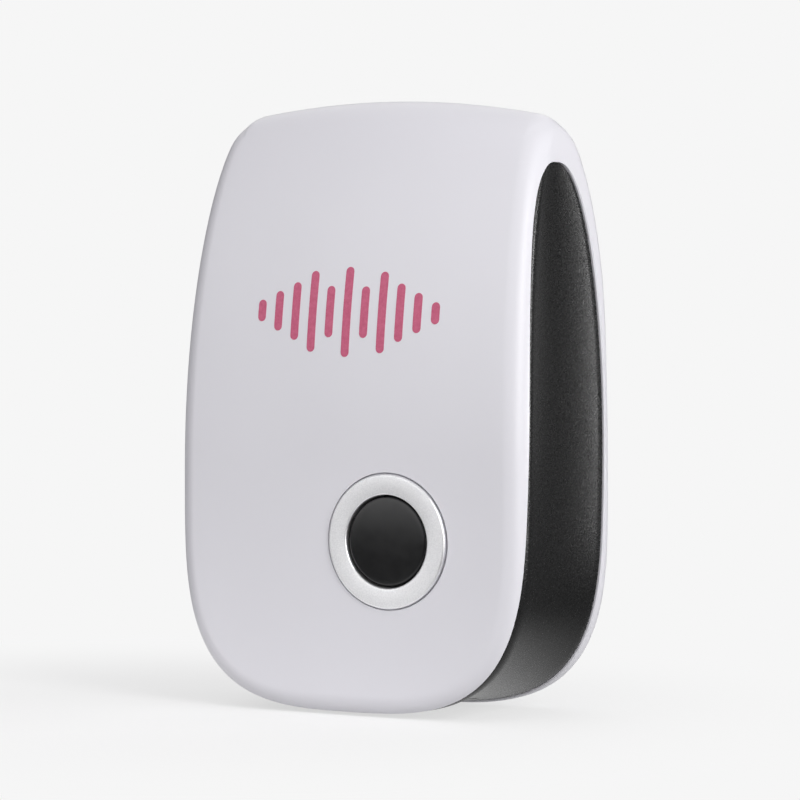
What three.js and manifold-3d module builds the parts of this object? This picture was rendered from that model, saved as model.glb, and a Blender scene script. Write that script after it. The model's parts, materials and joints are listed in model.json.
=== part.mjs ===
// Plug-in ultrasonic pest repeller: a white wrap-over shell, a black band let into its sides and bottom,
// a round push button in a silver bezel, and the two-blade plug, circuit board and transducer behind them.
//
// Everything is laid out in the case's own frame, in millimetres: X to the right, Y from the front face (0)
// to the back face (CASE.depth), Z up from the bottom edge (0). The group at the end moves that frame so
// that the origin is the middle of the plug's seating face.
import * as THREE from 'three';
import { mergeVertices } from 'three/addons/utils/BufferGeometryUtils.js';
import Module from 'manifold-3d';

const wasm = await Module();
wasm.setup();

// ---- driving dimensions -------------------------------------------------------------------------------

const CASE = {
  height: 96,
  halfWidth: 31.5,
  depth: 31,
  widestZ: 34.5, // height of the widest point
  lowerPower: 3.23, // roundness of the outline below the widest point
  topTaper: 2.9, // how much narrower each side is at the top
  ridgeY: 17.8, // where the front and back curves meet at the top
  ridgeDrop: 3.3, // how far the ridge falls towards each side
  frontBendZ: 42, // the front is upright below this height
  backBendZ: 64, // the back is upright below this height
  frontCrown: 0.8, // sideways bulge of the front
  edgeRound: 3.4,
  cornerReach: 4.9, // size of the rounded top corners
  cornerLift: 0.35, // how far their curve is drawn out past the sharp corner
  wall: 2,
};

// The arch that is open at each side and underneath, and holds the black band.
const ARCH = {
  top: 86.3,
  topY: 15,
  power: 2.4, // bluntness of the top: 2 is an ellipse
  frontY: 1.75,
  frontSlope: 0.0445,
  frontBendZ: 46,
  backY: 26,
  backSlope: 0.041,
  backBendZ: 30,
};

const BAND = {
  recess: 0.25, // how far the band's edges lie under the shell's surface
  bottomRecess: 0.35, // the same, underneath
  dish: 1, // depth of its hollow
  innerSkin: 3.8, // its inner surface lies this far inside the outline
  lap: 1.1, // how far it reaches behind the shell
};
const SOUND_SLOT = { count: 5, pitch: 6, halfWidth: 0.8, front: 10, back: 21, top: 8 };
const GAP = 0.3; // clearance between neighbouring pieces
const OUTSIDE = 1; // how far a cutting tool runs past the surface it cuts
const BUTTON = { x: 8.1, z: 27.6, radius: 6.95, travel: 1.2 };
const BEZEL = { radius: 10.5, bore: 7.25, proud: 0.4, seatDepth: 0.8, spigot: 8.3, spigotEnd: 3.2 };
const CAP = { face: -0.15, skirtEnd: 3.6, flange: 8.15, flangeEnd: 4.6, stem: 2.2, stemEnd: 6.1 };
const SWITCH = { half: 3, front: 8.8, bore: 1.9, plunger: 1.7, plungerFront: 6.4, plungerEnd: 10.2 };
const LIGHT_GUIDE = { outer: 11.6, front: 2.5, back: 3.9 };
const LED = { radius: 1.5, tip: 5, rim: 0.4, rimHeight: 1, offset: 10.1 };
const PLUG = {
  z: 52,
  seat: 1.5, // the seating face stands this far off the back
  bladeSpacing: 12.7,
  bladeWidth: 6.35,
  bladeThickness: 1.5,
  bladeLength: 17,
  bladeStart: 0.3, // the full blade starts this far off the seating face
  bladeTaper: 1.4,
  bladeBevel: 0.25,
  holeRadius: 1.6,
  holeFromSeat: 11.9,
  tailThickness: 1, // the blade is thinner where it runs through the block
  tailStep: 0.6,
  tailFront: 24,
  slotGap: 0.08, // the block's slots clear the full blade by this much
};
const INSERT = { halfWidth: 13.7, halfHeight: 10.2, corner: 5, flange: 1.8, flangeFront: 27 };
const WINDOW = { halfWidth: 23.8, low: 9.5, high: 72, corner: 5 };
const BOARD = { halfWidth: 15.5, low: 9.5, high: 70, front: 12.8, thickness: 1.6 };
const POST = { x: 19.5, lowZ: 14, highZ: 67, radius: 3 };
const BOSS = { x: 12, lowZ: 14, highZ: 43, radius: 2.5 };
const SCREW = { head: 2.6, shank: 1.3, hole: 1.6, headHeight: 1.1, length: 11, sink: 1.2, headBack: 30.95 };
const BOARD_SCREW = { head: 2.1, shank: 1, hole: 1.25, headHeight: 1.3, length: 7.5 };
const SOUNDER = { z: 58, radius: 10.5, front: 6, wall: 1.1, notchHalf: 2.5, notchDepth: 3 };
const CONE = { small: 2.2, large: 6.6, thickness: 0.5, back: 9.2, front: 7 };
const PIEZO = { radius: 8.9, front: 10.5, back: 11 };
const GASKET = { outerStep: 0.2, innerStep: 1.8, thickness: 0.8 };
const BOARD_BACK = BOARD.front + BOARD.thickness;
const TRANSFORMER = {
  z: 24,
  halfWidth: 8,
  halfHeight: 6.5,
  leg: 2.2,
  middle: 20.85, // depth of its middle
  halfStack: 3, // half the thickness of the laminations
  bobbinWall: 0.6,
  cheekReach: 5.4,
  windingReach: 5.1,
};
const FILM_CAPACITOR = { halfWidth: 6.5, low: 34, high: 40, back: 25, corner: 0.8 };
const SMOOTHING_CAPACITOR = { x: -10.5, y: 19, low: 47, high: 59, radius: 4 };
const SUPPLY_CAPACITOR = { x: 11, y: 18.2, low: 48, high: 59, radius: 3.2 };
const FUSE_RESISTOR = { radius: 1.6, length: 7, reach: 2, lead: 0.35, x: 0, z: 44 };
const DIODE = { radius: 1.3, length: 5, reach: 2, lead: 0.35, x: 8, lowZ: 63.5, highZ: 67 };
const RESISTOR = { radius: 0.9, length: 5.5, reach: 2, lead: 0.3, x: 0, heights: [11.2, 14] };
const CHIP = { left: -12.5, right: -5.5, low: 24, high: 33, height: 2.6 };
const CHIP_DOT = { radius: 0.6, inset: 1.5, depth: 0.3 };
const MAINS_WIRE = {
  radius: 0.8,
  top: [23.2, 49],
  bends: [
    [7.6, 22.4, 46],
    [8.9, 19.5, 41.5],
    [8.9, 16, 38.5],
  ],
};
const SOUNDER_WIRE = {
  radius: 0.4,
  points: [
    [1.3, 9.9, 52.5],
    [1.3, 9.3, 49],
    [1.3, 9.2, 46.5],
    [1.5, 11.6, 44.8],
  ],
};
const LABEL = { halfWidth: 14, low: 17, high: 34, corner: 1.5, gap: 0.03, thickness: 0.15 };
const ROUND = 24; // sides of a plain round piece
const RIGHT = new THREE.Vector3(1, 0, 0);
const BACK = new THREE.Vector3(0, 1, 0);
const UP = new THREE.Vector3(0, 0, 1);

// ---- solids -------------------------------------------------------------------------------------------

/** Merges equal vertices and drops the triangles that this makes flat. */
function weld(geometry) {
  const bare = geometry.index ? geometry.clone() : geometry;
  bare.deleteAttribute('normal');
  bare.deleteAttribute('uv');
  const merged = mergeVertices(bare, 1e-4);
  const kept = [];
  for (let i = 0; i < merged.index.count; i += 3) {
    const [a, b, c] = [0, 1, 2].map((k) => merged.index.getX(i + k));
    if (a !== b && b !== c && c !== a) kept.push(a, b, c);
  }
  merged.setIndex(kept);
  return merged;
}

function toSolid(geometry) {
  const welded = weld(geometry);
  return new wasm.Manifold(
    new wasm.Mesh({
      numProp: 3,
      vertProperties: new Float32Array(welded.attributes.position.array),
      triVerts: new Uint32Array(welded.index.array),
    }),
  );
}

function toGeometry(solid) {
  const mesh = solid.getMesh();
  const geometry = new THREE.BufferGeometry();
  geometry.setAttribute('position', new THREE.BufferAttribute(mesh.vertProperties, 3));
  geometry.setIndex(new THREE.BufferAttribute(mesh.triVerts, 1));
  geometry.computeVertexNormals();
  return geometry;
}

const joined = (solids) => solids.reduce((whole, solid) => whole.add(solid));
const cut = (solid, tools) => tools.reduce((whole, tool) => whole.subtract(tool), solid);

function box(x0, x1, y0, y1, z0, z1) {
  const geometry = new THREE.BoxGeometry(x1 - x0, y1 - y0, z1 - z0);
  geometry.translate((x0 + x1) / 2, (y0 + y1) / 2, (z0 + z1) / 2);
  return toSolid(geometry);
}

/** Round bar along Y. */
function rod(x, z, radius, y0, y1, sides = ROUND) {
  const geometry = new THREE.CylinderGeometry(radius, radius, y1 - y0, sides);
  geometry.translate(x, (y0 + y1) / 2, z);
  return toSolid(geometry);
}

/** Turned piece from [radius, distance] pairs that start and end on its axis or close on themselves. */
function turned(profile, sides = ROUND) {
  const twiceArea = profile.reduce((sum, [r, d], i) => {
    const [nextR, nextD] = profile[(i + 1) % profile.length];
    return sum + r * nextD - nextR * d;
  }, 0);
  const outward = twiceArea > 0 ? profile : [...profile].reverse();
  return new THREE.LatheGeometry(outward.map(([r, d]) => new THREE.Vector2(r, d)), sides);
}

/** Turned piece whose axis runs along Y through (x, z). */
function turnedAt(x, z, profile, sides = ROUND) {
  const geometry = turned(profile, sides);
  geometry.translate(x, 0, z);
  return toSolid(geometry);
}

/** Rounded rectangle about (x, z), drawn in X and Z. */
function roundedPlate(x, z, halfWidth, halfHeight, corner) {
  return roundedRect(x - halfWidth, x + halfWidth, z - halfHeight, z + halfHeight, corner);
}

function roundedRect(x0, x1, z0, z1, corner) {
  const shape = new THREE.Shape();
  shape.absarc(x1 - corner, z0 + corner, corner, -Math.PI / 2, 0);
  shape.absarc(x1 - corner, z1 - corner, corner, 0, Math.PI / 2);
  shape.absarc(x0 + corner, z1 - corner, corner, Math.PI / 2, Math.PI);
  shape.absarc(x0 + corner, z0 + corner, corner, Math.PI, Math.PI * 1.5);
  return shape;
}

/** Flat slab of an outline drawn in X and Z, from y0 back to y1. */
function slab(shape, y0, y1, curveSegments = 5) {
  const geometry = new THREE.ExtrudeGeometry(shape, { depth: y1 - y0, bevelEnabled: false, curveSegments });
  geometry.applyMatrix4(new THREE.Matrix4().makeBasis(RIGHT, UP, BACK.clone().negate()));
  geometry.translate(0, y1, 0);
  return toSolid(geometry);
}

/** Round wire of the given radius through the given points. */
function wire(points, radius) {
  const section = new THREE.Shape().absarc(0, 0, radius, 0, Math.PI * 2);
  const path = new THREE.CatmullRomCurve3(points.map((p) => new THREE.Vector3(...p)));
  const geometry = new THREE.ExtrudeGeometry(section, {
    steps: 12,
    bevelEnabled: false,
    curveSegments: 4,
    extrudePath: path,
  });
  return toSolid(geometry);
}

// ---- the case's form ----------------------------------------------------------------------------------

const ridgeDropAt = (x) => CASE.ridgeDrop * (x / CASE.halfWidth) ** 2;

/** Rise of a quarter (super)ellipse, 0 at its upright start and 1 at its level end. */
function quarterRise(z, start, end, power = 2) {
  const t = THREE.MathUtils.clamp((z - start) / (end - start), 0, 1);
  return 1 - (1 - t ** power) ** (1 / power);
}

/** Depth of the front skin at (x, z), for a surface that lies `skin` inside the outer one. */
function frontY(x, z, skin) {
  const rise = quarterRise(z + ridgeDropAt(x), CASE.frontBendZ, CASE.height - skin);
  const flat = skin + CASE.frontCrown * (x / CASE.halfWidth) ** 2;
  return flat + (CASE.ridgeY - flat) * rise;
}

function backY(x, z, skin) {
  const rise = quarterRise(z + ridgeDropAt(x), CASE.backBendZ, CASE.height - skin);
  const flat = CASE.depth - skin;
  return flat - (flat - CASE.ridgeY) * rise;
}

const sideX = (z) => CASE.halfWidth - CASE.topTaper * ((z - CASE.widestZ) / (CASE.height - CASE.widestZ)) ** 2;

/** Right half of the front outline, from the bottom centre to the top centre. */
function halfOutline(detail) {
  const { halfWidth, widestZ, lowerPower, cornerReach, cornerLift, height } = CASE;
  const points = [];
  for (let i = 0; i < detail.lower; i++) {
    const angle = ((i / detail.lower) * Math.PI) / 2;
    const x = halfWidth * Math.sin(angle) ** (2 / lowerPower);
    const z = widestZ * (1 - Math.cos(angle) ** (2 / lowerPower));
    points.push(new THREE.Vector2(x, z));
  }
  const ridgeZ = (x) => height - ridgeDropAt(x);
  const cornerZ = ridgeZ(sideX(height));
  const sideEnd = cornerZ - cornerReach;
  for (let i = 0; i < detail.side; i++) {
    const z = widestZ + ((sideEnd - widestZ) * i) / detail.side;
    points.push(new THREE.Vector2(sideX(z), z));
  }
  const ridgeStart = sideX(cornerZ) - cornerReach;
  const corner = new THREE.QuadraticBezierCurve(
    new THREE.Vector2(sideX(sideEnd), sideEnd),
    new THREE.Vector2(sideX(cornerZ), ridgeZ(sideX(cornerZ)) + cornerLift),
    new THREE.Vector2(ridgeStart, ridgeZ(ridgeStart)),
  );
  for (let i = 0; i < detail.corner; i++) points.push(corner.getPoint(i / detail.corner));
  for (let i = 0; i <= detail.ridge; i++) {
    const x = ridgeStart * (1 - i / detail.ridge);
    points.push(new THREE.Vector2(x, ridgeZ(x)));
  }
  return points;
}

/** The whole outline, anticlockwise seen from the front, as points with their outward normals. */
function outline(detail) {
  const right = halfOutline(detail);
  const left = right.slice(1, -1).reverse().map((p) => new THREE.Vector2(-p.x, p.y));
  const loop = [...right, ...left];
  return loop.map((point, i) => {
    const before = loop[(i + loop.length - 1) % loop.length];
    const after = loop[(i + 1) % loop.length];
    const along = after.clone().sub(before).normalize();
    return { point, normal: new THREE.Vector2(along.y, -along.x) };
  });
}

const FINE = { lower: 13, side: 6, corner: 5, ridge: 3 };
const PLAIN = { lower: 10, side: 4, corner: 4, ridge: 2 };
const RIDGE_FLAT = 0.12; // the outline stops this far under the ridge, which keeps a narrow flat there
const SPINE = { low: 30, high: 82 }; // ends of the line that the front and back faces close on
const FACE_SHARES = [1, 0.5]; // where a face's rings lie between its rim and that line
const ROUND_STEPS = 4;
const LARGEST_ROUND = 0.49; // an edge is rounded by at most this share of the case's depth there
const INNER_ROUND = 1; // rounding of the cavity's and the laps' edges

/** Rings of a front or back face, from the line that it closes on out over the rounded edge. */
function faceRings(loop, skin, face, direction) {
  const sheet = FACE_SHARES.map((share) =>
    loop.map(({ edge, normal, round }) => {
      const start = edge.clone().addScaledVector(normal, -round);
      const spine = new THREE.Vector2(0, THREE.MathUtils.clamp(start.y, SPINE.low, SPINE.high));
      const at = start.lerp(spine, share);
      return new THREE.Vector3(at.x, face(at.x, at.y, skin), at.y);
    }),
  );
  const rounding = [];
  for (let k = 0; k <= ROUND_STEPS; k++) {
    const angle = ((k / ROUND_STEPS) * Math.PI) / 2;
    rounding.push(
      loop.map(({ edge, normal, round }) => {
        const at = edge.clone().addScaledVector(normal, -round * (1 - Math.sin(angle)));
        const y = face(at.x, at.y, skin) + direction * round * (1 - Math.cos(angle));
        return new THREE.Vector3(at.x, y, at.y);
      }),
    );
  }
  return [...sheet, ...rounding];
}

/**
 * Closed solid inside the case's outline. `skin` is how far its surface lies inside the outer one, and
 * `sideInset(share, normal)` adds to that on the side wall, at a share of the way from front to back.
 */
function caseForm(skin, detail, edgeRound, sideSteps = 1, sideInset = () => 0) {
  const loop = outline(detail).map(({ point, normal }) => {
    const edge = point.clone().addScaledVector(normal, -skin);
    edge.y -= RIDGE_FLAT * Math.max(normal.y, 0);
    const depth = backY(edge.x, edge.y, skin) - frontY(edge.x, edge.y, skin);
    return { edge, normal, round: Math.min(edgeRound, depth * LARGEST_ROUND) };
  });
  const front = faceRings(loop, skin, frontY, 1);
  const back = faceRings(loop, skin, backY, -1).reverse();
  const [frontEdge, backEdge] = [front.at(-1), back[0]];
  const side = [];
  for (let k = 1; k < sideSteps; k++) {
    const share = k / sideSteps;
    side.push(
      loop.map(({ normal }, i) => {
        const inset = sideInset(share, normal);
        const at = frontEdge[i].clone().lerp(backEdge[i], share);
        return at.sub(new THREE.Vector3(normal.x * inset, 0, normal.y * inset));
      }),
    );
  }
  return toSolid(loft([...front, ...side, ...back]));
}

/** Skin through equal-length rings, whose first and last rings fold shut on a line. */
function loft(rings) {
  const count = rings[0].length;
  const positions = rings.flat().flatMap((p) => [p.x, p.y, p.z]);
  const index = [];
  for (let r = 0; r + 1 < rings.length; r++) {
    for (let i = 0; i < count; i++) {
      const j = (i + 1) % count;
      const [a, b, c, d] = [r * count + i, r * count + j, (r + 1) * count + j, (r + 1) * count + i];
      index.push(a, c, b, a, d, c);
    }
  }
  const geometry = new THREE.BufferGeometry();
  geometry.setAttribute('position', new THREE.Float32BufferAttribute(positions, 3));
  geometry.setIndex(index);
  return geometry;
}

/** Prism along X with the arch's profile, drawn in by `gap` all round. */
function archPrism(gap, steps = 10) {
  const floorZ = -5;
  const top = ARCH.top - gap;
  const frontLine = (z) => ARCH.frontY + ARCH.frontSlope * z + gap;
  const backLine = (z) => ARCH.backY + ARCH.backSlope * z - gap;
  const bend = (line, z, bendZ) => {
    const rise = quarterRise(z, bendZ, top, ARCH.power);
    return line(z) + (ARCH.topY - line(top)) * rise;
  };
  const profile = [new THREE.Vector2(frontLine(floorZ), floorZ)];
  const climb = (start, k) => start + (top - start) * Math.sin(((k / steps) * Math.PI) / 2);
  for (let k = 0; k <= steps; k++) {
    const z = climb(ARCH.frontBendZ, k);
    profile.push(new THREE.Vector2(bend(frontLine, z, ARCH.frontBendZ), z));
  }
  for (let k = steps - 1; k >= 0; k--) {
    const z = climb(ARCH.backBendZ, k);
    profile.push(new THREE.Vector2(bend(backLine, z, ARCH.backBendZ), z));
  }
  profile.push(new THREE.Vector2(backLine(floorZ), floorZ));
  const reach = CASE.halfWidth + 5;
  const geometry = new THREE.ExtrudeGeometry(new THREE.Shape(profile.reverse()), {
    depth: reach * 2,
    bevelEnabled: false,
  });
  geometry.applyMatrix4(new THREE.Matrix4().makeBasis(BACK, UP, RIGHT));
  geometry.translate(-reach, 0, 0);
  return toSolid(geometry);
}

const fourCorners = ({ x, lowZ, highZ }) => [
  [-x, lowZ],
  [x, lowZ],
  [-x, highZ],
  [x, highZ],
];

// ---- casing pieces ------------------------------------------------------------------------------------

function wrapShell() {
  const outer = caseForm(0, FINE, CASE.edgeRound);
  const cavity = caseForm(CASE.wall, PLAIN, INNER_ROUND);
  const opening = archPrism(0).subtract(innerBore(BAND.innerSkin + GAP));
  const opened = cut(outer, [cavity, opening]);
  const plateBack = CASE.depth - CASE.wall;
  const columns = fourCorners(POST).map(([x, z]) =>
    rod(x, z, POST.radius, frontY(x, z, 0) + CASE.wall / 2, plateBack - GAP, 16),
  );
  const bosses = fourCorners(BOSS).map(([x, z]) =>
    rod(x, z, BOSS.radius, frontY(x, z, 0) + CASE.wall / 2, BOARD.front - GAP, 16),
  );
  const screwHoles = [
    ...fourCorners(POST).map(([x, z]) => rod(x, z, SCREW.hole, plateBack - SCREW.length - 1, plateBack, 12)),
    ...fourCorners(BOSS).map(([x, z]) => rod(x, z, BOARD_SCREW.hole, BOARD.front - 7, BOARD.front, 12)),
  ];
  const window = slab(
    roundedRect(-WINDOW.halfWidth, WINDOW.halfWidth, WINDOW.low, WINDOW.high, WINDOW.corner),
    plateBack - OUTSIDE,
    CASE.depth + OUTSIDE,
  );
  const bezelSeat = rod(BUTTON.x, BUTTON.z, BEZEL.radius + GAP, -OUTSIDE, BEZEL.seatDepth, 40);
  const bezelHole = rod(BUTTON.x, BUTTON.z, BEZEL.spigot + GAP, -OUTSIDE, CASE.wall + OUTSIDE, 40);
  return cut(joined([cut(opened, [window]), ...columns, ...bosses]), [...screwHoles, bezelSeat, bezelHole]);
}

/** Everything inside the case's outline but `skin` in from its edge, from front to back. */
function innerBore(skin) {
  const loop = outline(PLAIN).map(({ point, normal }) => point.clone().addScaledVector(normal, -skin));
  return slab(new THREE.Shape(loop), -OUTSIDE, CASE.depth + OUTSIDE);
}

/** The black band: a dished strip that runs down both sides and under the bottom, with hidden laps. */
function sideBand() {
  const recessAt = (normal) => (BAND.bottomRecess - BAND.recess) * Math.max(-normal.y, 0) ** 2;
  const dishAt = (share) => BAND.dish * (1 - (2 * share - 1) ** 2);
  const sideInset = (share, normal) => recessAt(normal) + dishAt(share);
  const strip = caseForm(BAND.recess, FINE, CASE.edgeRound, 6, sideInset);
  const laps = caseForm(CASE.wall + GAP, PLAIN, INNER_ROUND).intersect(archPrism(-BAND.lap));
  const whole = strip.intersect(archPrism(GAP)).add(laps);
  const { count, pitch, halfWidth, front, back, top } = SOUND_SLOT;
  const slots = Array.from({ length: count }, (_, k) => {
    const x = (k - (count - 1) / 2) * pitch;
    return box(x - halfWidth, x + halfWidth, front, back, -OUTSIDE, top);
  });
  return cut(whole, [innerBore(BAND.innerSkin), ...slots]);
}

function backPlate() {
  const edge = WINDOW.halfWidth - GAP;
  const inner = CASE.depth - CASE.wall;
  const plate = slab(
    roundedRect(-edge, edge, WINDOW.low + GAP, WINDOW.high - GAP, WINDOW.corner - GAP),
    inner,
    CASE.depth,
  );
  const sinks = fourCorners(POST).map(([x, z]) =>
    rod(x, z, SCREW.head + GAP, CASE.depth - SCREW.sink, CASE.depth + OUTSIDE, 20),
  );
  const holes = fourCorners(POST).map(([x, z]) => rod(x, z, SCREW.hole, inner - OUTSIDE, CASE.depth, 12));
  const { halfWidth, halfHeight, corner } = INSERT;
  const plugHole = slab(
    roundedPlate(0, PLUG.z, halfWidth + GAP, halfHeight + GAP, corner),
    inner - OUTSIDE,
    CASE.depth + OUTSIDE,
  );
  return cut(plate, [...sinks, ...holes, plugHole]);
}

/** Plug block: the boss that seats on the wall socket, and the flange that holds it behind the plate. */
function plugInsert() {
  const { halfWidth, halfHeight, corner, flange, flangeFront } = INSERT;
  const block = (grow, y0, y1) =>
    slab(roundedPlate(0, PLUG.z, halfWidth + grow, halfHeight + grow, corner), y0, y1);
  const boss = block(0, flangeFront, CASE.depth + PLUG.seat);
  const behind = block(flange, flangeFront, CASE.depth - CASE.wall - GAP);
  return cut(boss.add(behind), [bladeSlot(-1), bladeSlot(1)]);
}

const bladeX = (side) => (side * PLUG.bladeSpacing) / 2;

/** Bar along Y about a blade's middle line. */
function bladeBar(side, halfThickness, halfWidth, y0, y1) {
  const x = bladeX(side);
  return box(x - halfThickness, x + halfThickness, y0, y1, PLUG.z - halfWidth, PLUG.z + halfWidth);
}

/** Opening in the plug block, a little larger than the full blade. */
function bladeSlot(side) {
  const halfThickness = PLUG.bladeThickness / 2 + PLUG.slotGap;
  const halfWidth = PLUG.bladeWidth / 2 + PLUG.slotGap;
  return bladeBar(side, halfThickness, halfWidth, PLUG.tailFront, CASE.depth + PLUG.seat + OUTSIDE);
}

/** A blade with its tapered tip, the round hole near it, and its thinner tail in the block. */
function finishedBlade(side) {
  const { bladeTaper, bladeBevel, bladeThickness, bladeWidth, tailThickness, tailStep } = PLUG;
  const seat = CASE.depth + PLUG.seat;
  const [start, tip] = [seat + PLUG.bladeStart, seat + PLUG.bladeLength];
  const halfWidth = bladeWidth / 2;
  const flat = new THREE.Shape(
    [
      [start, -halfWidth],
      [tip - bladeTaper, -halfWidth],
      [tip, -halfWidth + bladeTaper],
      [tip, halfWidth - bladeTaper],
      [tip - bladeTaper, halfWidth],
      [start, halfWidth],
    ].map(([y, z]) => new THREE.Vector2(y, z)),
  );
  flat.holes.push(new THREE.Path().absarc(seat + PLUG.holeFromSeat, 0, PLUG.holeRadius, 0, Math.PI * 2));
  const geometry = new THREE.ExtrudeGeometry(flat, {
    depth: bladeThickness - 2 * bladeBevel,
    bevelThickness: bladeBevel,
    bevelSize: bladeBevel,
    bevelOffset: -bladeBevel,
    bevelSegments: 1,
    curveSegments: 8,
  });
  geometry.applyMatrix4(new THREE.Matrix4().makeBasis(BACK, UP, RIGHT));
  geometry.translate(bladeX(side) - bladeThickness / 2 + bladeBevel, 0, PLUG.z);
  const tailEnd = start + bladeBevel;
  const tail = bladeBar(side, tailThickness / 2, halfWidth - tailStep, PLUG.tailFront, tailEnd);
  return toSolid(geometry).add(tail);
}

/** Pan-head cross-recess screw driven in from the back, with its head's outer face at headBack. */
function screw(x, z, size, headBack, sides) {
  const headFront = headBack - size.headHeight;
  const body = turnedAt(
    x,
    z,
    [
      [0, headFront - size.length],
      [size.shank * 0.6, headFront - size.length],
      [size.shank, headFront - size.length + 1.2],
      [size.shank, headFront],
      [size.head, headFront],
      [size.head, headBack - size.headHeight * 0.4],
      [size.head * 0.7, headBack],
      [0, headBack],
    ],
    sides,
  );
  const [half, long, deep] = [size.head * 0.13, size.head * 0.6, size.headHeight * 0.6];
  return cut(body, [
    box(x - half, x + half, headBack - deep, headBack + OUTSIDE, z - long, z + long),
    box(x - long, x + long, headBack - deep, headBack + OUTSIDE, z - half, z + half),
  ]);
}

// ---- the button ---------------------------------------------------------------------------------------

function bezelRing() {
  const { radius, bore, proud, seatDepth, spigot, spigotEnd } = BEZEL;
  const seat = seatDepth - GAP;
  return turnedAt(
    BUTTON.x,
    BUTTON.z,
    [
      [bore, spigotEnd],
      [bore, 0],
      [bore + 0.35, -proud],
      [radius - 0.45, -proud],
      [radius, 0.05],
      [radius, seat],
      [spigot, seat],
      [spigot, spigotEnd],
      [bore, spigotEnd],
    ],
    48,
  );
}

function buttonCap() {
  return turnedAt(
    BUTTON.x,
    BUTTON.z,
    [
      [0, CAP.stemEnd],
      [CAP.stem, CAP.stemEnd],
      [CAP.stem, CAP.flangeEnd],
      [CAP.flange, CAP.flangeEnd],
      [CAP.flange, CAP.skirtEnd],
      [BUTTON.radius, CAP.skirtEnd],
      [BUTTON.radius, 0.5],
      [BUTTON.radius - 0.15, 0.15],
      [BUTTON.radius - 0.5, 0],
      [BUTTON.radius * 0.5, CAP.face + 0.05],
      [0, CAP.face],
    ],
    40,
  );
}

function switchPlunger() {
  return rod(BUTTON.x, BUTTON.z, SWITCH.plunger, SWITCH.plungerFront, SWITCH.plungerEnd, 20);
}

/** Switch body, bored deep enough for the plunger to follow the button's whole travel. */
function switchBody() {
  const { half, front, bore, plungerEnd } = SWITCH;
  const { x, z } = BUTTON;
  const block = box(x - half, x + half, front, BOARD.front - GAP, z - half, z + half);
  return cut(block, [rod(x, z, bore, front - OUTSIDE, plungerEnd + BUTTON.travel + GAP)]);
}

function lightGuide() {
  const { outer, front, back } = LIGHT_GUIDE;
  const { x, z } = BUTTON;
  return cut(rod(x, z, outer, front, back, 36), [rod(x, z, BEZEL.spigot + GAP, 0, back + OUTSIDE, 36)]);
}

function led(x, z) {
  const { radius, tip, rim, rimHeight } = LED;
  const base = BOARD.front - GAP;
  const rimRadius = radius + rim;
  const rimTop = base - rimHeight;
  const dome = [];
  for (let k = 0; k <= 4; k++) {
    const angle = ((k / 4) * Math.PI) / 2;
    dome.push([radius * Math.cos(angle), tip + radius * (1 - Math.sin(angle))]);
  }
  return turnedAt(x, z, [[0, base], [rimRadius, base], [rimRadius, rimTop], [radius, rimTop], ...dome], 10);
}

// ---- electronics --------------------------------------------------------------------------------------

function board() {
  const { halfWidth, low, high, front } = BOARD;
  const plate = slab(roundedRect(-halfWidth, halfWidth, low, high, 1), front, BOARD_BACK, 2);
  const holes = fourCorners(BOSS).map(([x, z]) =>
    rod(x, z, BOARD_SCREW.hole, front - OUTSIDE, BOARD_BACK + OUTSIDE, 12),
  );
  return cut(plate, holes);
}

function sounderHousing() {
  const { z, radius, front, wall, notchHalf, notchDepth } = SOUNDER;
  const back = BOARD.front - GAP;
  const [notchLow, notchHigh] = [z - radius - OUTSIDE, z - radius + notchDepth];
  const cup = turnedAt(
    0,
    z,
    [
      [0, back],
      [radius, back],
      [radius, front],
      [radius - wall, front],
      [radius - wall, back - wall],
      [0, back - wall],
    ],
    36,
  );
  const notch = box(-notchHalf, notchHalf, front - OUTSIDE, back - wall - GAP, notchLow, notchHigh);
  return cut(cup, [notch]);
}

function sounderCone() {
  const { small, large, thickness, back, front } = CONE;
  return turnedAt(0, SOUNDER.z, [
    [0, back],
    [small, back],
    [large, front],
    [large - thickness, front],
    [small - thickness, back - thickness],
    [0, back - thickness],
  ]);
}

function foamGasket() {
  const { z, radius, front } = SOUNDER;
  const { outerStep, innerStep, thickness } = GASKET;
  const back = front - GAP;
  return cut(rod(0, z, radius - outerStep, back - thickness, back, 32), [
    rod(0, z, radius - innerStep, 0, front, 32),
  ]);
}

/** Electrolytic can with its crimp, standing along Z. */
function canCapacitor({ x, y, low, high, radius }) {
  const length = high - low;
  const geometry = turned(
    [
      [0, 0],
      [radius - 0.3, 0],
      [radius, 0.4],
      [radius, 1.3],
      [radius - 0.4, 1.7],
      [radius, 2.1],
      [radius, length - 0.4],
      [radius - 0.4, length],
      [0, length],
    ],
    14,
  );
  geometry.rotateX(Math.PI / 2);
  geometry.translate(x, y, low);
  return toSolid(geometry);
}

/** Round part with a lead out of each end, lying along X behind the board. */
function axialPart({ radius, length, reach, lead }, x, z) {
  const [half, end] = [length / 2, length / 2 + reach];
  const geometry = turned(
    [
      [0, -end],
      [lead, -end],
      [lead, -half],
      [radius - 0.15, -half],
      [radius, -half + 0.3],
      [radius, half - 0.3],
      [radius - 0.15, half],
      [lead, half],
      [lead, end],
      [0, end],
    ],
    12,
  );
  geometry.rotateZ(Math.PI / 2);
  geometry.translate(x, BOARD_BACK + GAP + radius, z);
  return toSolid(geometry);
}

/** Laminated core: a frame with a middle leg. */
function transformerCore() {
  const { z, halfWidth, halfHeight, leg, middle, halfStack } = TRANSFORMER;
  const [front, back] = [middle - halfStack, middle + halfStack];
  const [low, high] = [z - halfHeight + leg, z + halfHeight - leg];
  const inner = halfWidth - leg;
  const frame = roundedPlate(0, z, halfWidth, halfHeight, 0.5);
  return cut(slab(frame, front, back, 2), [
    box(-inner, -leg, front - OUTSIDE, back + OUTSIDE, low, high),
    box(leg, inner, front - OUTSIDE, back + OUTSIDE, low, high),
  ]);
}

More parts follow.
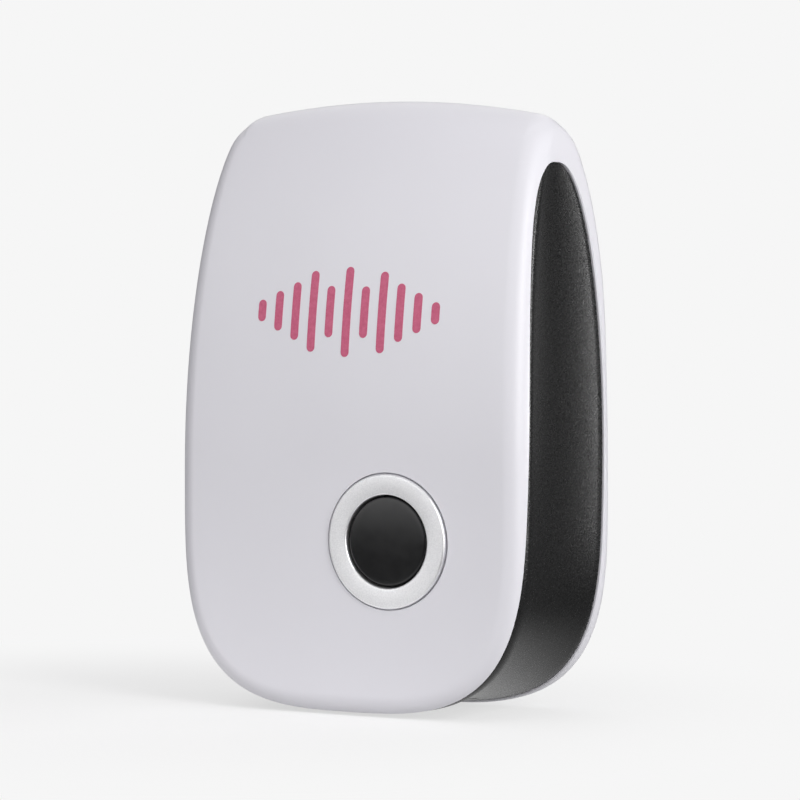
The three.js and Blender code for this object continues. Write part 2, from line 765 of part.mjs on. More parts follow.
/** Square ring round the core's middle leg. */
function legRing(innerX, outerX, innerY, outerY, z0, z1) {
  const { middle } = TRANSFORMER;
  const ring = (x, y, low, high) => box(-x, x, middle - y, middle + y, low, high);
  return ring(outerX, outerY, z0, z1).subtract(ring(innerX, innerY, z0 - OUTSIDE, z1 + OUTSIDE));
}

function transformerBobbin() {
  const { z, halfHeight, leg, halfWidth, halfStack, bobbinWall, cheekReach } = TRANSFORMER;
  const [low, high] = [z - halfHeight + leg + GAP, z + halfHeight - leg - GAP];
  const [boreX, boreY] = [leg + GAP, halfStack + GAP];
  const rim = halfWidth - leg - GAP;
  const tube = legRing(boreX, boreX + bobbinWall, boreY, boreY + bobbinWall, low, high);
  const cheeks = [low, high - bobbinWall].map((z0) =>
    legRing(boreX, rim, boreY, cheekReach, z0, z0 + bobbinWall),
  );
  return joined([tube, ...cheeks]);
}

function transformerWinding() {
  const { z, halfHeight, leg, halfWidth, halfStack, bobbinWall, windingReach } = TRANSFORMER;
  const clear = 2 * GAP + bobbinWall;
  const [low, high] = [z - halfHeight + leg + clear, z + halfHeight - leg - clear];
  return legRing(leg + clear, halfWidth - leg - clear + GAP, halfStack + clear, windingReach, low, high);
}

function filmCapacitor() {
  const { halfWidth, low, high, back, corner } = FILM_CAPACITOR;
  return slab(roundedRect(-halfWidth, halfWidth, low, high, corner), BOARD_BACK + GAP, back, 3);
}

function controlChip() {
  const { left, right, low, high, height } = CHIP;
  const { radius, inset, depth } = CHIP_DOT;
  const base = BOARD.front - GAP;
  const top = base - height;
  const mark = rod(left + inset, high - inset, radius, top - OUTSIDE, top + depth, 10);
  return cut(box(left, right, top, base, low, high), [mark]);
}

/** Wire from a blade's tail to the board. */
function mainsWire(side) {
  const { radius, top, bends } = MAINS_WIRE;
  return wire([[bladeX(side), ...top], ...bends.map(([x, y, z]) => [side * x, y, z])], radius);
}

/** Wire from the transducer to the board. */
function sounderWire(side) {
  const { radius, points } = SOUNDER_WIRE;
  return wire(points.map(([x, y, z]) => [side * x, y, z]), radius);
}

function ratingLabel() {
  const { halfWidth, low, high, corner, gap, thickness } = LABEL;
  const front = CASE.depth + gap;
  return slab(roundedRect(-halfWidth, halfWidth, low, high, corner), front, front + thickness, 3);
}

// ---- assembly -----------------------------------------------------------------------------------------

const WHITE = { color: 0xf1f0f3, roughness: 0.38, metalness: 0 };
const BLACK = { color: 0x232325, roughness: 0.5, metalness: 0 };
const GLOSS_BLACK = { color: 0x141415, roughness: 0.15, metalness: 0 };
const SILVER = { color: 0xc9c9cd, roughness: 0.35, metalness: 0.8 };
const STEEL = { color: 0xb5b5b2, roughness: 0.35, metalness: 1 };
const BRASS = { color: 0xcfae62, roughness: 0.3, metalness: 1 };
const GREEN = { color: 0x1e5b38, roughness: 0.55, metalness: 0 };
const GREY = { color: 0x8d8f92, roughness: 0.6, metalness: 0 };
const COPPER = { color: 0xb26a3c, roughness: 0.4, metalness: 0.8 };
const YELLOW = { color: 0xd8b23a, roughness: 0.5, metalness: 0 };
const CLEAR = { color: 0xe8eef4, roughness: 0.2, metalness: 0 };

const caseFrame = new THREE.Group();
caseFrame.position.set(0, -(CASE.depth + PLUG.seat), -PLUG.z);

function add(name, solid, look) {
  const mesh = new THREE.Mesh(toGeometry(solid), new THREE.MeshStandardMaterial(look));
  mesh.name = name;
  caseFrame.add(mesh);
}

add('wrap_shell', wrapShell(), WHITE);
add('side_band', sideBand(), BLACK);
add('back_plate', backPlate(), WHITE);
add('plug_insert', plugInsert(), WHITE);
add('plug_blade_left', finishedBlade(-1), BRASS);
add('plug_blade_right', finishedBlade(1), BRASS);
add('rating_label', ratingLabel(), CLEAR);
fourCorners(POST).forEach(([x, z], i) => {
  add(`case_screw_${i + 1}`, screw(x, z, SCREW, SCREW.headBack, 16), STEEL);
});

add('bezel_ring', bezelRing(), SILVER);
add('button_cap', buttonCap(), GLOSS_BLACK);
add('switch_plunger', switchPlunger(), GREY);
add('switch_body', switchBody(), BLACK);
add('light_guide', lightGuide(), CLEAR);
[-1, 1].forEach((side, i) => add(`led_${i + 1}`, led(BUTTON.x, BUTTON.z + side * LED.offset), CLEAR));

add('circuit_board', board(), GREEN);
fourCorners(BOSS).forEach(([x, z], i) => {
  const headBack = BOARD_BACK + BOARD_SCREW.headHeight + GAP / 2;
  add(`board_screw_${i + 1}`, screw(x, z, BOARD_SCREW, headBack, 10), STEEL);
});
add('transducer_housing', sounderHousing(), BLACK);
add('transducer_cone', sounderCone(), SILVER);
add('piezo_disc', rod(0, SOUNDER.z, PIEZO.radius, PIEZO.front, PIEZO.back, 28), BRASS);
add('foam_gasket', foamGasket(), GREY);
[-1, 1].forEach((side, i) => add(`transducer_wire_${i + 1}`, sounderWire(side), GREY));

add('transformer_core', transformerCore(), GREY);
add('transformer_bobbin', transformerBobbin(), BLACK);
add('transformer_winding', transformerWinding(), COPPER);
add('film_capacitor', filmCapacitor(), YELLOW);
add('smoothing_capacitor', canCapacitor(SMOOTHING_CAPACITOR), BLACK);
add('supply_capacitor', canCapacitor(SUPPLY_CAPACITOR), BLACK);
add('fuse_resistor', axialPart(FUSE_RESISTOR, FUSE_RESISTOR.x, FUSE_RESISTOR.z), GREY);
fourCorners(DIODE).forEach(([x, z], i) => add(`rectifier_diode_${i + 1}`, axialPart(DIODE, x, z), BLACK));
RESISTOR.heights.forEach((z, i) => add(`resistor_${i + 1}`, axialPart(RESISTOR, RESISTOR.x, z), YELLOW));
add('control_chip', controlChip(), BLACK);
add('live_wire', mainsWire(-1), BLACK);
add('neutral_wire', mainsWire(1), WHITE);

const pestRepeller = new THREE.Group();
pestRepeller.name = 'pest_repeller';
pestRepeller.add(caseFrame);

export default pestRepeller;
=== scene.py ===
"""Plug-in ultrasonic pest repeller: the finished look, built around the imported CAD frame.

Shapes are worked out in millimetres in the case's own frame (X right, Y from the front face to the back,
Z up from the bottom edge) and placed in the row's frame by to_row(). The smooth skin of the case follows
the same formulas as the CAD solids, only with many more points.
"""
import json
import math

import bmesh
import bpy
import numpy as np
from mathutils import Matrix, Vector


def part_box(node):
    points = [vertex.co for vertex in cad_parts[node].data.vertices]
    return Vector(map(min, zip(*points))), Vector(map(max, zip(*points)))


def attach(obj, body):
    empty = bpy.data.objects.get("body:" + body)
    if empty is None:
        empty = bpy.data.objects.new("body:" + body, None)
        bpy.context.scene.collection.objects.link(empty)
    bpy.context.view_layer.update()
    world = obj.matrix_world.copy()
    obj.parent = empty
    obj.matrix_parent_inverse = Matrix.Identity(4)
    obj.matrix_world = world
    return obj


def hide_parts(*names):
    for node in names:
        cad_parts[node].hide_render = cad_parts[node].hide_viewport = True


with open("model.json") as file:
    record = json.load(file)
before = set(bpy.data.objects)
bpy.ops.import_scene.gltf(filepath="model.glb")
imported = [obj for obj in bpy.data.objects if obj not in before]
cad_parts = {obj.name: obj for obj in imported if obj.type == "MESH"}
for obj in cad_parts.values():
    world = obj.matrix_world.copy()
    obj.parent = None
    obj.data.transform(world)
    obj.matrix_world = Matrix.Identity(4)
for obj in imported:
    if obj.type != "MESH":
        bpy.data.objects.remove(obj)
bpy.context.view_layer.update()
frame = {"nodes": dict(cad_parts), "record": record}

MM = 0.001
shell_low, shell_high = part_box("wrap_shell")

# ---- the case's form, in millimetres ------------------------------------------------------------------

HEIGHT = 96.0
HALF_WIDTH = 31.5
DEPTH = 31.0
WIDEST_Z = 34.5
LOWER_POWER = 3.23
TOP_TAPER = 2.9
RIDGE_Y = 17.8
RIDGE_DROP = 3.3
FRONT_BEND_Z = 42.0
BACK_BEND_Z = 64.0
FRONT_CROWN = 0.8
EDGE_ROUND = 3.4
CORNER_REACH = 4.9
CORNER_LIFT = 0.35
RIDGE_FLAT = 0.12
SPINE = (30.0, 82.0)
WALL = 2.0
GAP = 0.3

ARCH_TOP = 86.3
ARCH_TOP_Y = 15.0
ARCH_POWER = 2.4
ARCH_FRONT_Y = 1.75
ARCH_FRONT_SLOPE = 0.0445
ARCH_FRONT_BEND = 46.0
ARCH_BACK_Y = 26.0
ARCH_BACK_SLOPE = 0.041
ARCH_BACK_BEND = 30.0

BAND_RECESS = 0.25
BAND_BOTTOM_RECESS = 0.1
BAND_DISH = 1.0
BAND_INNER = 3.8
BAND_LAP = 1.1
BAND_EASE = 0.14  # rounding of the band's two long edges
BAND_TURN = 1.2  # from the visible edge in to the step where the lap starts
LIP = 0.18  # chamfer of the shell's edges along the band

SLOT_PITCH = 6
SLOT_HALF = 0.8
SLOT_REACH = (10, 21)  # from the front to the back end of a sound slot
SLOT_CORNER = 0.79

PLUG_Z = 52.0
SEAT_Y = DEPTH + 1.5  # the plug block's seating face
WINDOW = (23.8, 9.5, 72.0, 5.0)  # half width, bottom, top, corner radius
INSERT = (13.7, 10.2, 5.0)  # half width, half height, corner radius
FLANGE_LAP = 1.8
BLADE_SLOT = (0.83, 3.255, 0.3)  # half width, half height, corner radius

POSTS = [(x, z) for z in (14.0, 67.0) for x in (-19.5, 19.5)]
POST_RADIUS = 3.0
POST_PILOT_RADIUS = 1.6
POST_PILOT_DEPTH = 12
SCREW_SINK_RADIUS = 2.9
SCREW_SINK_DEPTH = 1.2
BOSSES = [(x, z) for z in (14.0, 43.0) for x in (-12.0, 12.0)]
BOSS_RADIUS = 2.5
BOSS_TOP_Y = 12.5
BOSS_PILOT_RADIUS = 1.25
BOSS_PILOT = (5.8, 12.8)

BEZEL_HOLE_RADIUS = 8.6
BEZEL_SEAT_RADIUS = 10.72
BEZEL_SEAT_DEPTH = 0.8
BEYOND = 1  # how far a cutting tool sticks out past what it cuts
SQUARE_EDGE = 0.01  # rounding of a cutting slab, next to nothing


def to_row(points):
    """Case millimetres to the row's metres."""
    placed = np.asarray(points, float) * MM
    return placed + np.array([0.0, shell_low.y, shell_low.z])


def case_box(node):
    """A CAD node's two corners in case millimetres."""
    origin = Vector((0, shell_low.y, shell_low.z))
    return [(corner - origin) / MM for corner in map(Vector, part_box(node))]


bezel_low, bezel_high = case_box("bezel_ring")
BEZEL_X = (bezel_low.x + bezel_high.x) / 2
BEZEL_Z = (bezel_low.z + bezel_high.z) / 2


def quarter_rise(z, start, end, power=2.0):
    """0 where a quarter (super)ellipse leaves the upright, 1 where it is level."""
    t = np.clip((z - start) / (end - start), 0, 1)
    return 1 - (1 - t**power) ** (1 / power)


def ridge_drop(x):
    """How far the ridge lies below its middle at this x."""
    return RIDGE_DROP * (x / HALF_WIDTH) ** 2


def front_y(x, z, skin=0.0):
    """Depth of the front face, or of a sheet `skin` behind it."""
    flat = skin + FRONT_CROWN * (x / HALF_WIDTH) ** 2
    return flat + (RIDGE_Y - flat) * quarter_rise(z + ridge_drop(x), FRONT_BEND_Z, HEIGHT - skin)


def back_y(x, z, skin=0.0):
    """Depth of the back face, or of a sheet `skin` inside it."""
    flat = DEPTH - skin
    return flat - (flat - RIDGE_Y) * quarter_rise(z + ridge_drop(x), BACK_BEND_Z, HEIGHT - skin)


def side_x(z):
    """Half width of the case above its widest height."""
    return HALF_WIDTH - TOP_TAPER * ((z - WIDEST_Z) / (HEIGHT - WIDEST_Z)) ** 2


def half_outline(lower, side, above, corner, ridge):
    """Right half of the outline from bottom centre to top centre, and the index of the arch's top."""
    angle = np.arange(lower) / lower * math.pi / 2
    bottom_x = HALF_WIDTH * np.sin(angle) ** (2 / LOWER_POWER)
    bottom_z = WIDEST_Z * (1 - np.cos(angle) ** (2 / LOWER_POWER))
    corner_z = HEIGHT - ridge_drop(side_x(HEIGHT))
    side_end = corner_z - CORNER_REACH
    climb = WIDEST_Z + (ARCH_TOP - WIDEST_Z) * np.sin(np.arange(side) / side * math.pi / 2)
    top_part = np.linspace(ARCH_TOP, side_end, above, endpoint=False)
    side_z = np.concatenate([climb, top_part])
    ridge_start = side_x(corner_z) - CORNER_REACH
    a = np.array([side_x(side_end), side_end])
    b = np.array([side_x(corner_z), HEIGHT - ridge_drop(side_x(corner_z)) + CORNER_LIFT])
    c = np.array([ridge_start, HEIGHT - ridge_drop(ridge_start)])
    t = (np.arange(corner) / corner)[:, None]
    bend = (1 - t) ** 2 * a + 2 * t * (1 - t) * b + t * t * c
    top_x = ridge_start * (1 - np.arange(ridge + 1) / ridge)
    points = np.concatenate(
        [
            np.column_stack([bottom_x, bottom_z]),
            np.column_stack([side_x(side_z), side_z]),
            bend,
            np.column_stack([top_x, HEIGHT - ridge_drop(top_x)]),
        ]
    )
    return points, lower + side


class Outline:
    """The case's outline as a loop of points with outward normals, anticlockwise from the front."""

    def __init__(self, lower=56, side=64, above=3, corner=14, ridge=18):
        right, apex = half_outline(lower, side, above, corner, ridge)
        left = right[1:-1][::-1] * [-1, 1]
        self.point = np.concatenate([right, left])
        along = np.roll(self.point, -1, 0) - np.roll(self.point, 1, 0)
        along /= np.linalg.norm(along, axis=1)[:, None]
        self.normal = np.column_stack([along[:, 1], -along[:, 0]])
        self.count = len(self.point)
        self.apex_right = apex
        self.apex_left = self.count - apex

    def opened(self, i):
        """True where the side or bottom is open for the band."""
        return i <= self.apex_right or i >= self.apex_left


def arch_side(z, start, slope, bend_z):
    """Depth of one side of the arch at height z."""
    end = start + slope * ARCH_TOP
    return start + slope * z + (ARCH_TOP_Y - end) * quarter_rise(z, bend_z, ARCH_TOP, ARCH_POWER)


def arch_front(z):
    return arch_side(z, ARCH_FRONT_Y, ARCH_FRONT_SLOPE, ARCH_FRONT_BEND)


def arch_back(z):
    return arch_side(z, ARCH_BACK_Y, ARCH_BACK_SLOPE, ARCH_BACK_BEND)


# ---- mesh helpers -------------------------------------------------------------------------------------


class Builder:
    """Collects points and faces in case millimetres and turns them into one welded mesh object."""

    def __init__(self):
        self.points = []
        self.faces = []

    def add(self, rows):
        """Adds equal-length rows of points and returns their indices as an array."""
        rows = np.asarray(rows, float)
        start = len(self.points)
        self.points.extend(rows.reshape(-1, 3).tolist())
        return np.arange(start, len(self.points)).reshape(rows.shape[:2])

    def skin(self, index, closed=True, flip=False, keep=lambda column: True):
        """Quads over a grid of indices, round the columns if closed."""
        rows, columns = index.shape
        for r in range(rows - 1):
            for c in range(columns if closed else columns - 1):
                if not keep(c):
                    continue
                d = (c + 1) % columns
                quad = [index[r, c], index[r, d], index[r + 1, d], index[r + 1, c]]
                self.faces.append(quad[::-1] if flip else quad)

    def build(self, name, weld=2e-6):
        mesh = bpy.data.meshes.new(name)
        mesh.from_pydata(to_row(self.points).tolist(), [], [[int(i) for i in f] for f in self.faces])
        piece = bpy.data.objects.new(name, mesh)
        bpy.context.scene.collection.objects.link(piece)
        work = bmesh.new()
        work.from_mesh(mesh)
        bmesh.ops.remove_doubles(work, verts=work.verts, dist=weld)
        bmesh.ops.dissolve_degenerate(work, edges=work.edges, dist=weld / 4)
        bmesh.ops.recalc_face_normals(work, faces=work.faces)
        work.to_mesh(mesh)
        work.free()
        return piece


def smooth(piece, degrees=32):
    """Smooth shading, with creases sharper than the angle left sharp."""
    piece.data.shade_smooth()
    piece.data.set_sharp_from_angle(angle=math.radians(degrees))
    return piece


def lathe(builder, x, z, profile, segments=128):
    """Closed turned ring or disc round the Y axis through (x, z), from [radius, depth] pairs."""
    turn = np.arange(segments) / segments * 2 * math.pi
    rows = [
        np.column_stack([x + r * np.cos(turn), np.full(segments, y), z + r * np.sin(turn)])
        for r, y in profile
    ]
    builder.skin(builder.add(rows))


def arc(centre_r, centre_y, radius, start, end, steps=6):
    """[radius, depth] pairs on an arc, with angles in degrees from outwards (0) to the back (90)."""
    angles = np.radians(np.linspace(start, end, steps + 1))
    return [[centre_r + radius * math.cos(a), centre_y + radius * math.sin(a)] for a in angles]


def rounded_rect(x0, x1, z0, z1, corner, steps=10):
    """Points of an upright rectangle with round corners, anticlockwise from the lower right corner."""
    points = []
    left, right = x0 + corner, x1 - corner
    low, high = z0 + corner, z1 - corner
    for quarter, (cx, cz) in enumerate([(right, low), (right, high), (left, high), (left, low)]):
        for k in range(steps + 1):
            angle = (quarter - 1 + k / steps) * math.pi / 2
            points.append([cx + corner * math.cos(angle), cz + corner * math.sin(angle)])
    return np.array(points)


def bevelled_slab(builder, outline, y0, y1, edge=0.25, steps=3):
    """Slab of a convex outline from y0 to y1 with rounded rims, closed by fans."""
    centre = outline.mean(0)
    out = outline - centre
    length = np.linalg.norm(out, axis=1)[:, None]
    rows = []

    def row(inset, y):
        ring = centre + out * (1 - inset / length)
        rows.append(np.column_stack([ring[:, 0], np.full(len(ring), y), ring[:, 1]]))

    rows.append(np.tile([centre[0], y0, centre[1]], (len(out), 1)))
    turn = [k / steps * math.pi / 2 for k in range(steps + 1)]
    for a in turn:
        row(edge * (1 - math.sin(a)), y0 + edge * (1 - math.cos(a)))
    for a in reversed(turn):
        row(edge * (1 - math.sin(a)), y1 - edge * (1 - math.cos(a)))
    rows.append(np.tile([centre[0], y1, centre[1]], (len(out), 1)))
    builder.skin(builder.add(rows))


def cut_or_join(piece, tool, operation):
    """Applies one boolean with a tool object and removes the tool."""
    modifier = piece.modifiers.new("boolean", "BOOLEAN")
    modifier.operation = operation
    modifier.object = tool
    modifier.solver = "EXACT"
    bpy.context.view_layer.objects.active = piece
    bpy.ops.object.modifier_apply(modifier=modifier.name)
    bpy.data.objects.remove(tool)
    return piece


def rod_tool(specs, segments=64):
    """One mesh of round bars along Y, each (x, z, radius, y0, y1)."""
    tool = Builder()
    for x, z, radius, y0, y1 in specs:
        lathe(tool, x, z, [[0, y0], [radius, y0], [radius, y1], [0, y1]], segments)
    return tool.build("tool")


# ---- casing pieces ------------------------------------------------------------------------------------


def meridians(loop, skin, face, direction, stop, face_rows, edge_rows):
    """Rows of a front or back sheet, from the spine out over the rounded edge to depth `stop`."""
    edge = loop.point - loop.normal * skin
    edge[:, 1] -= RIDGE_FLAT * np.maximum(loop.normal[:, 1], 0)
    depth = back_y(edge[:, 0], edge[:, 1], skin) - front_y(edge[:, 0], edge[:, 1], skin)
    least_rounding = 1.0
    depth_share = 0.49  # the rounding takes just under half the depth at most
    rounding = np.minimum(max(EDGE_ROUND - skin, least_rounding), depth * depth_share)
    start = edge - loop.normal * rounding[:, None]
    spine = np.column_stack([np.zeros(loop.count), np.clip(start[:, 1], *SPINE)])
    rows = []
    crowding = 1.5  # rows lie closer together towards the edge
    for share in (1 - np.linspace(0, 1, face_rows)) ** crowding:
        at = start + (spine - start) * share
        rows.append(np.column_stack([at[:, 0], face(at[:, 0], at[:, 1], skin), at[:, 1]]))
    dense = []
    for a in np.linspace(0, math.pi / 2, 33):
        at = edge - loop.normal * (rounding * (1 - math.sin(a)))[:, None]
        y = face(at[:, 0], at[:, 1], skin) + direction * rounding * (1 - math.cos(a))
        dense.append(np.column_stack([at[:, 0], y, at[:, 1]]))
    dense = np.array(dense)
    edge_part = np.empty((edge_rows, loop.count, 3))
    for i in range(loop.count):
        line = dense[:, i]
        past_the_edge = direction * (stop[i] - line[-1, 1]) > 1e-6
        if past_the_edge:
            line = np.vstack([line, [line[-1, 0], stop[i], line[-1, 2]]])
        length = np.concatenate([[0], np.cumsum(np.linalg.norm(np.diff(line, axis=0), axis=1))])
        depth_along = direction * line[:, 1]
        reach = np.interp(direction * stop[i], depth_along, length)
        at_length = np.linspace(0, reach, edge_rows + 1)[1:]
        for axis in range(3):
            edge_part[:, i, axis] = np.interp(at_length, length, line[:, axis])
    return np.concatenate([np.array(rows), edge_part])


def wrap_shell():
    """White shell: front, top and back in one sheet with a wall, open at the sides and underneath."""
    loop = Outline()
    z = loop.point[:, 1]
    opened = np.array([loop.opened(i) for i in range(loop.count)])
    middle = (front_y(*loop.point.T) + back_y(*loop.point.T)) / 2
    rise = np.clip((z - ARCH_TOP) / (HEIGHT - RIDGE_DROP - ARCH_TOP), 0, 1)
    web = middle + (ARCH_TOP_Y - middle[loop.apex_right]) * (1 - rise)
    narrow = np.clip((arch_back(z) - arch_front(z)) / 2, 0, 1)
    shrink = np.where(opened, LIP, 0) * narrow
    inner_margin = 0.05  # the inner sheet always goes at least this far past its face

    def along_opening(column):
        return opened[column] and opened[(column + 1) % loop.count]

    builder = Builder()
    for face, direction, boundary in ((front_y, 1, arch_front(z)), (back_y, -1, arch_back(z))):
        stop = np.where(opened, boundary, web)
        outer = meridians(loop, 0.0, face, direction, stop - direction * shrink, face_rows=22, edge_rows=16)
        inner_face = face(*(loop.point - loop.normal * WALL).T, WALL)
        inner_stop = direction * np.maximum(direction * stop, direction * inner_face + inner_margin)
        inner = meridians(loop, WALL, face, direction, inner_stop, face_rows=10, edge_rows=6)
        chamfer = outer[-1].copy()
        chamfer[:, 0] -= loop.normal[:, 0] * shrink
        chamfer[:, 2] -= loop.normal[:, 1] * shrink
        chamfer[:, 1] = stop
        outer_index = builder.add(outer)
        inner_index = builder.add(inner)
        lip_index = builder.add([outer[-1], chamfer, inner[-1]])
        builder.skin(outer_index, flip=direction < 0)
        builder.skin(inner_index, flip=direction > 0)
        builder.skin(lip_index, flip=direction < 0, keep=along_opening)
    piece = builder.build("wrap_shell_skin", weld=3e-6)
    add_posts(piece)
    cut_or_join(piece, window_tool(), "DIFFERENCE")
    cut_shell_holes(piece)
    return smooth(piece)


def add_posts(piece):
    """Joins the four screw posts and the four board bosses to the front wall."""
    post_end = DEPTH - WALL - GAP
    posts = [(x, z, POST_RADIUS, front_y(x, z) + WALL / 2, post_end) for x, z in POSTS]
    bosses = [(x, z, BOSS_RADIUS, front_y(x, z) + WALL / 2, BOSS_TOP_Y) for x, z in BOSSES]
    cut_or_join(piece, rod_tool(posts + bosses, 48), "UNION")


def window_tool():
    """Slab that cuts the back plate's window."""
    half, low, high, corner = WINDOW
    outline = rounded_rect(-half, half, low, high, corner)
    window = Builder()
    bevelled_slab(window, outline, DEPTH - WALL - BEYOND, DEPTH + BEYOND, SQUARE_EDGE, 1)
    return window.build("tool")


def cut_shell_holes(piece):
    """Pilot holes in the posts and bosses, and the stepped hole for the bezel."""
    post_end = DEPTH - WALL
    holes = [(x, z, POST_PILOT_RADIUS, post_end - POST_PILOT_DEPTH, post_end) for x, z in POSTS]
    holes += [(x, z, BOSS_PILOT_RADIUS, *BOSS_PILOT) for x, z in BOSSES]
    holes += [(BEZEL_X, BEZEL_Z, BEZEL_HOLE_RADIUS, -2 * BEYOND, 2 * WALL)]
    cut_or_join(piece, rod_tool(holes, 48), "DIFFERENCE")
    seat = [(BEZEL_X, BEZEL_Z, BEZEL_SEAT_RADIUS, -2 * BEYOND, BEZEL_SEAT_DEPTH)]
    cut_or_join(piece, rod_tool(seat, 160), "DIFFERENCE")


def side_band():
    """Black band: a dished strip down both sides and under the bottom, with its hidden laps."""
    loop = Outline()
    order = list(range(loop.apex_left, loop.count)) + list(range(loop.apex_right + 1))
    builder = Builder()
    index = builder.add([band_section(loop.point[i], loop.normal[i]) for i in order])
    builder.skin(index)
    for end in (index[0], index[-1]):
        builder.faces.append(list(end))
    piece = builder.build("side_band_skin")
    slots = Builder()
    for k in range(-2, 3):
        middle = k * SLOT_PITCH
        outline = rounded_rect(middle - SLOT_HALF, middle + SLOT_HALF, *SLOT_REACH, SLOT_CORNER, 6)
        slot_tool(slots, outline)
    cut_or_join(piece, slots.build("tool"), "DIFFERENCE")
    return smooth(piece)


def slot_tool(builder, outline):
    """Upright bar with an outline drawn in X and Y, through the bottom of the band."""
    centre = outline.mean(0)
    rows = []
    low, high = -BEYOND, 8  # from under the case to above the band
    for z, scale in ((low, 0), (low, 1), (high, 1), (high, 0)):
        ring = centre + (outline - centre) * scale
        rows.append(np.column_stack([ring, np.full(len(ring), z)]))
    builder.skin(builder.add(rows))


def edge_inset(point, normal, y, skin):
    """How far inside the outline the rounded surface lies at depth y."""
    edge = point - normal * skin
    near = min(y - front_y(edge[0], edge[1], skin), back_y(edge[0], edge[1], skin) - y)
    rise = min(max(near, 0.0), EDGE_ROUND)
    return skin + EDGE_ROUND - math.sqrt(EDGE_ROUND**2 - (EDGE_ROUND - rise) ** 2)


def band_section(point, normal):
    """Closed section of the band across the case's depth at one outline point."""
    low, high = arch_front(point[1]) + GAP, arch_back(point[1]) - GAP
    middle, half = (low + high) / 2, max((high - low) / 2, 0.02)
    low, high = middle - half, middle + half
    ease = min(BAND_EASE, half / 2)
    down = max(-normal[1], 0.0) ** 2
    full_dish_half, fade_power = 12, 1.2  # the dish fades where the band is narrow
    dish = BAND_DISH * min(1.0, half / full_dish_half) ** fade_power
    lap_skin = WALL + GAP
    front_limit = front_y(point[0], point[1], lap_skin)
    section = []

    def put(inset, y):
        at = point - normal * inset
        section.append([at[0], y, at[1]])

    near_edge = [0, 0.12, 0.4, 1.0]
    spans = 18
    spread = [k / spans for k in range(1, spans)]
    depths = [low + ease * s for s in near_edge]
    depths += [low + ease + (high - low - 2 * ease) * s for s in spread]
    depths += [high - ease * s for s in reversed(near_edge)]
    for y in depths:
        share = (y - low) / (high - low)
        from_end = min(y - low, high - y)
        turn_in = max(1 - from_end / ease, 0.0)
        rounding = ease * (1 - math.sqrt(max(1 - turn_in**2, 0.0)))
        inset = edge_inset(point, normal, y, BAND_RECESS)
        put(inset + BAND_BOTTOM_RECESS * down + dish * (1 - (2 * share - 1) ** 2) + rounding, y)
    lap_low = max(low - BAND_LAP, front_limit)
    lap_high = min(high + BAND_LAP, DEPTH - lap_skin)
    put(max(lap_skin, edge_inset(point, normal, high, BAND_RECESS) + BAND_TURN), high)
    put(lap_skin, lap_high)
    put(BAND_INNER, lap_high)
    put(BAND_INNER, lap_low)
    put(lap_skin, lap_low)
    put(max(lap_skin, edge_inset(point, normal, low, BAND_RECESS) + BAND_TURN), low)
    return section


def back_plate():
    """White plate in the back, with four screw sinks and the plug's opening."""
    builder = Builder()
    half, low, high, corner = WINDOW
    outline = rounded_rect(-half + GAP, half - GAP, low + GAP, high - GAP, corner - GAP)
    bevelled_slab(builder, outline, DEPTH - WALL, DEPTH)
    piece = builder.build("back_plate_skin")
    sinks = [(x, z, SCREW_SINK_RADIUS, DEPTH - SCREW_SINK_DEPTH, DEPTH + BEYOND) for x, z in POSTS]
    holes = [(x, z, POST_PILOT_RADIUS, DEPTH - WALL - BEYOND, DEPTH) for x, z in POSTS]
    cut_or_join(piece, rod_tool(sinks), "DIFFERENCE")
    cut_or_join(piece, rod_tool(holes), "DIFFERENCE")
    opening = Builder()
    outline = insert_outline(GAP, GAP)
    bevelled_slab(opening, outline, DEPTH - WALL - BEYOND, DEPTH + BEYOND, SQUARE_EDGE, 1)
    cut_or_join(piece, opening.build("tool"), "DIFFERENCE")
    return smooth(piece)


def insert_outline(margin=0.0, corner_margin=0.0):
    """Outline of the plug block, or one that is larger by a margin."""
    half_width, half_height, corner = INSERT
    half_width += margin
    half_height += margin
    low, high = PLUG_Z - half_height, PLUG_Z + half_height
    return rounded_rect(-half_width, half_width, low, high, corner + corner_margin)


def plug_insert():
    """Plug block: boss, hidden flange and the two blade slots."""
    low, high = case_box("plug_insert")
    builder = Builder()
    bevelled_slab(builder, insert_outline(), low.y, high.y, 0.4, 4)
    piece = builder.build("plug_insert_skin")
    flange = Builder()
    flange_front = low.y + 0.01  # a hair behind the block's front, so that the two faces don't coincide
    bevelled_slab(flange, insert_outline(FLANGE_LAP), flange_front, DEPTH - WALL - GAP, 0.15, 2)
    cut_or_join(piece, flange.build("tool"), "UNION")
    slots = Builder()
    half_width, half_height, corner = BLADE_SLOT
    for name in ("plug_blade_left", "plug_blade_right"):
        blade_low, blade_high = case_box(name)
        x = (blade_low.x + blade_high.x) / 2
        sides = (x - half_width, x + half_width, PLUG_Z - half_height, PLUG_Z + half_height)
        slot = rounded_rect(*sides, corner, 4)
        bevelled_slab(slots, slot, low.y - BEYOND, high.y + BEYOND, SQUARE_EDGE, 1)
    cut_or_join(piece, slots.build("tool"), "DIFFERENCE")
    return smooth(piece)


# ---- bezel and button ---------------------------------------------------------------------------------


def bezel_ring():
    """Silver ring: a flat satin face between two rounded shoulders, with the spigot behind it."""
    bore, rim, spigot = 7.25, 10.5, 8.3  # radii
    rim_back, spigot_back = 0.5, 3.2
    profile = [[bore, spigot_back]]
    profile += arc(7.6, -0.05, 0.35, 180, 270, 6)
    profile += arc(10.12, -0.02, 0.38, 270, 360, 8)
    profile += [[rim, rim_back], [spigot, rim_back], [spigot, spigot_back], [bore, spigot_back]]
    builder = Builder()
    lathe(builder, BEZEL_X, BEZEL_Z, profile, 160)
    return smooth(builder.build("bezel_ring_skin"))


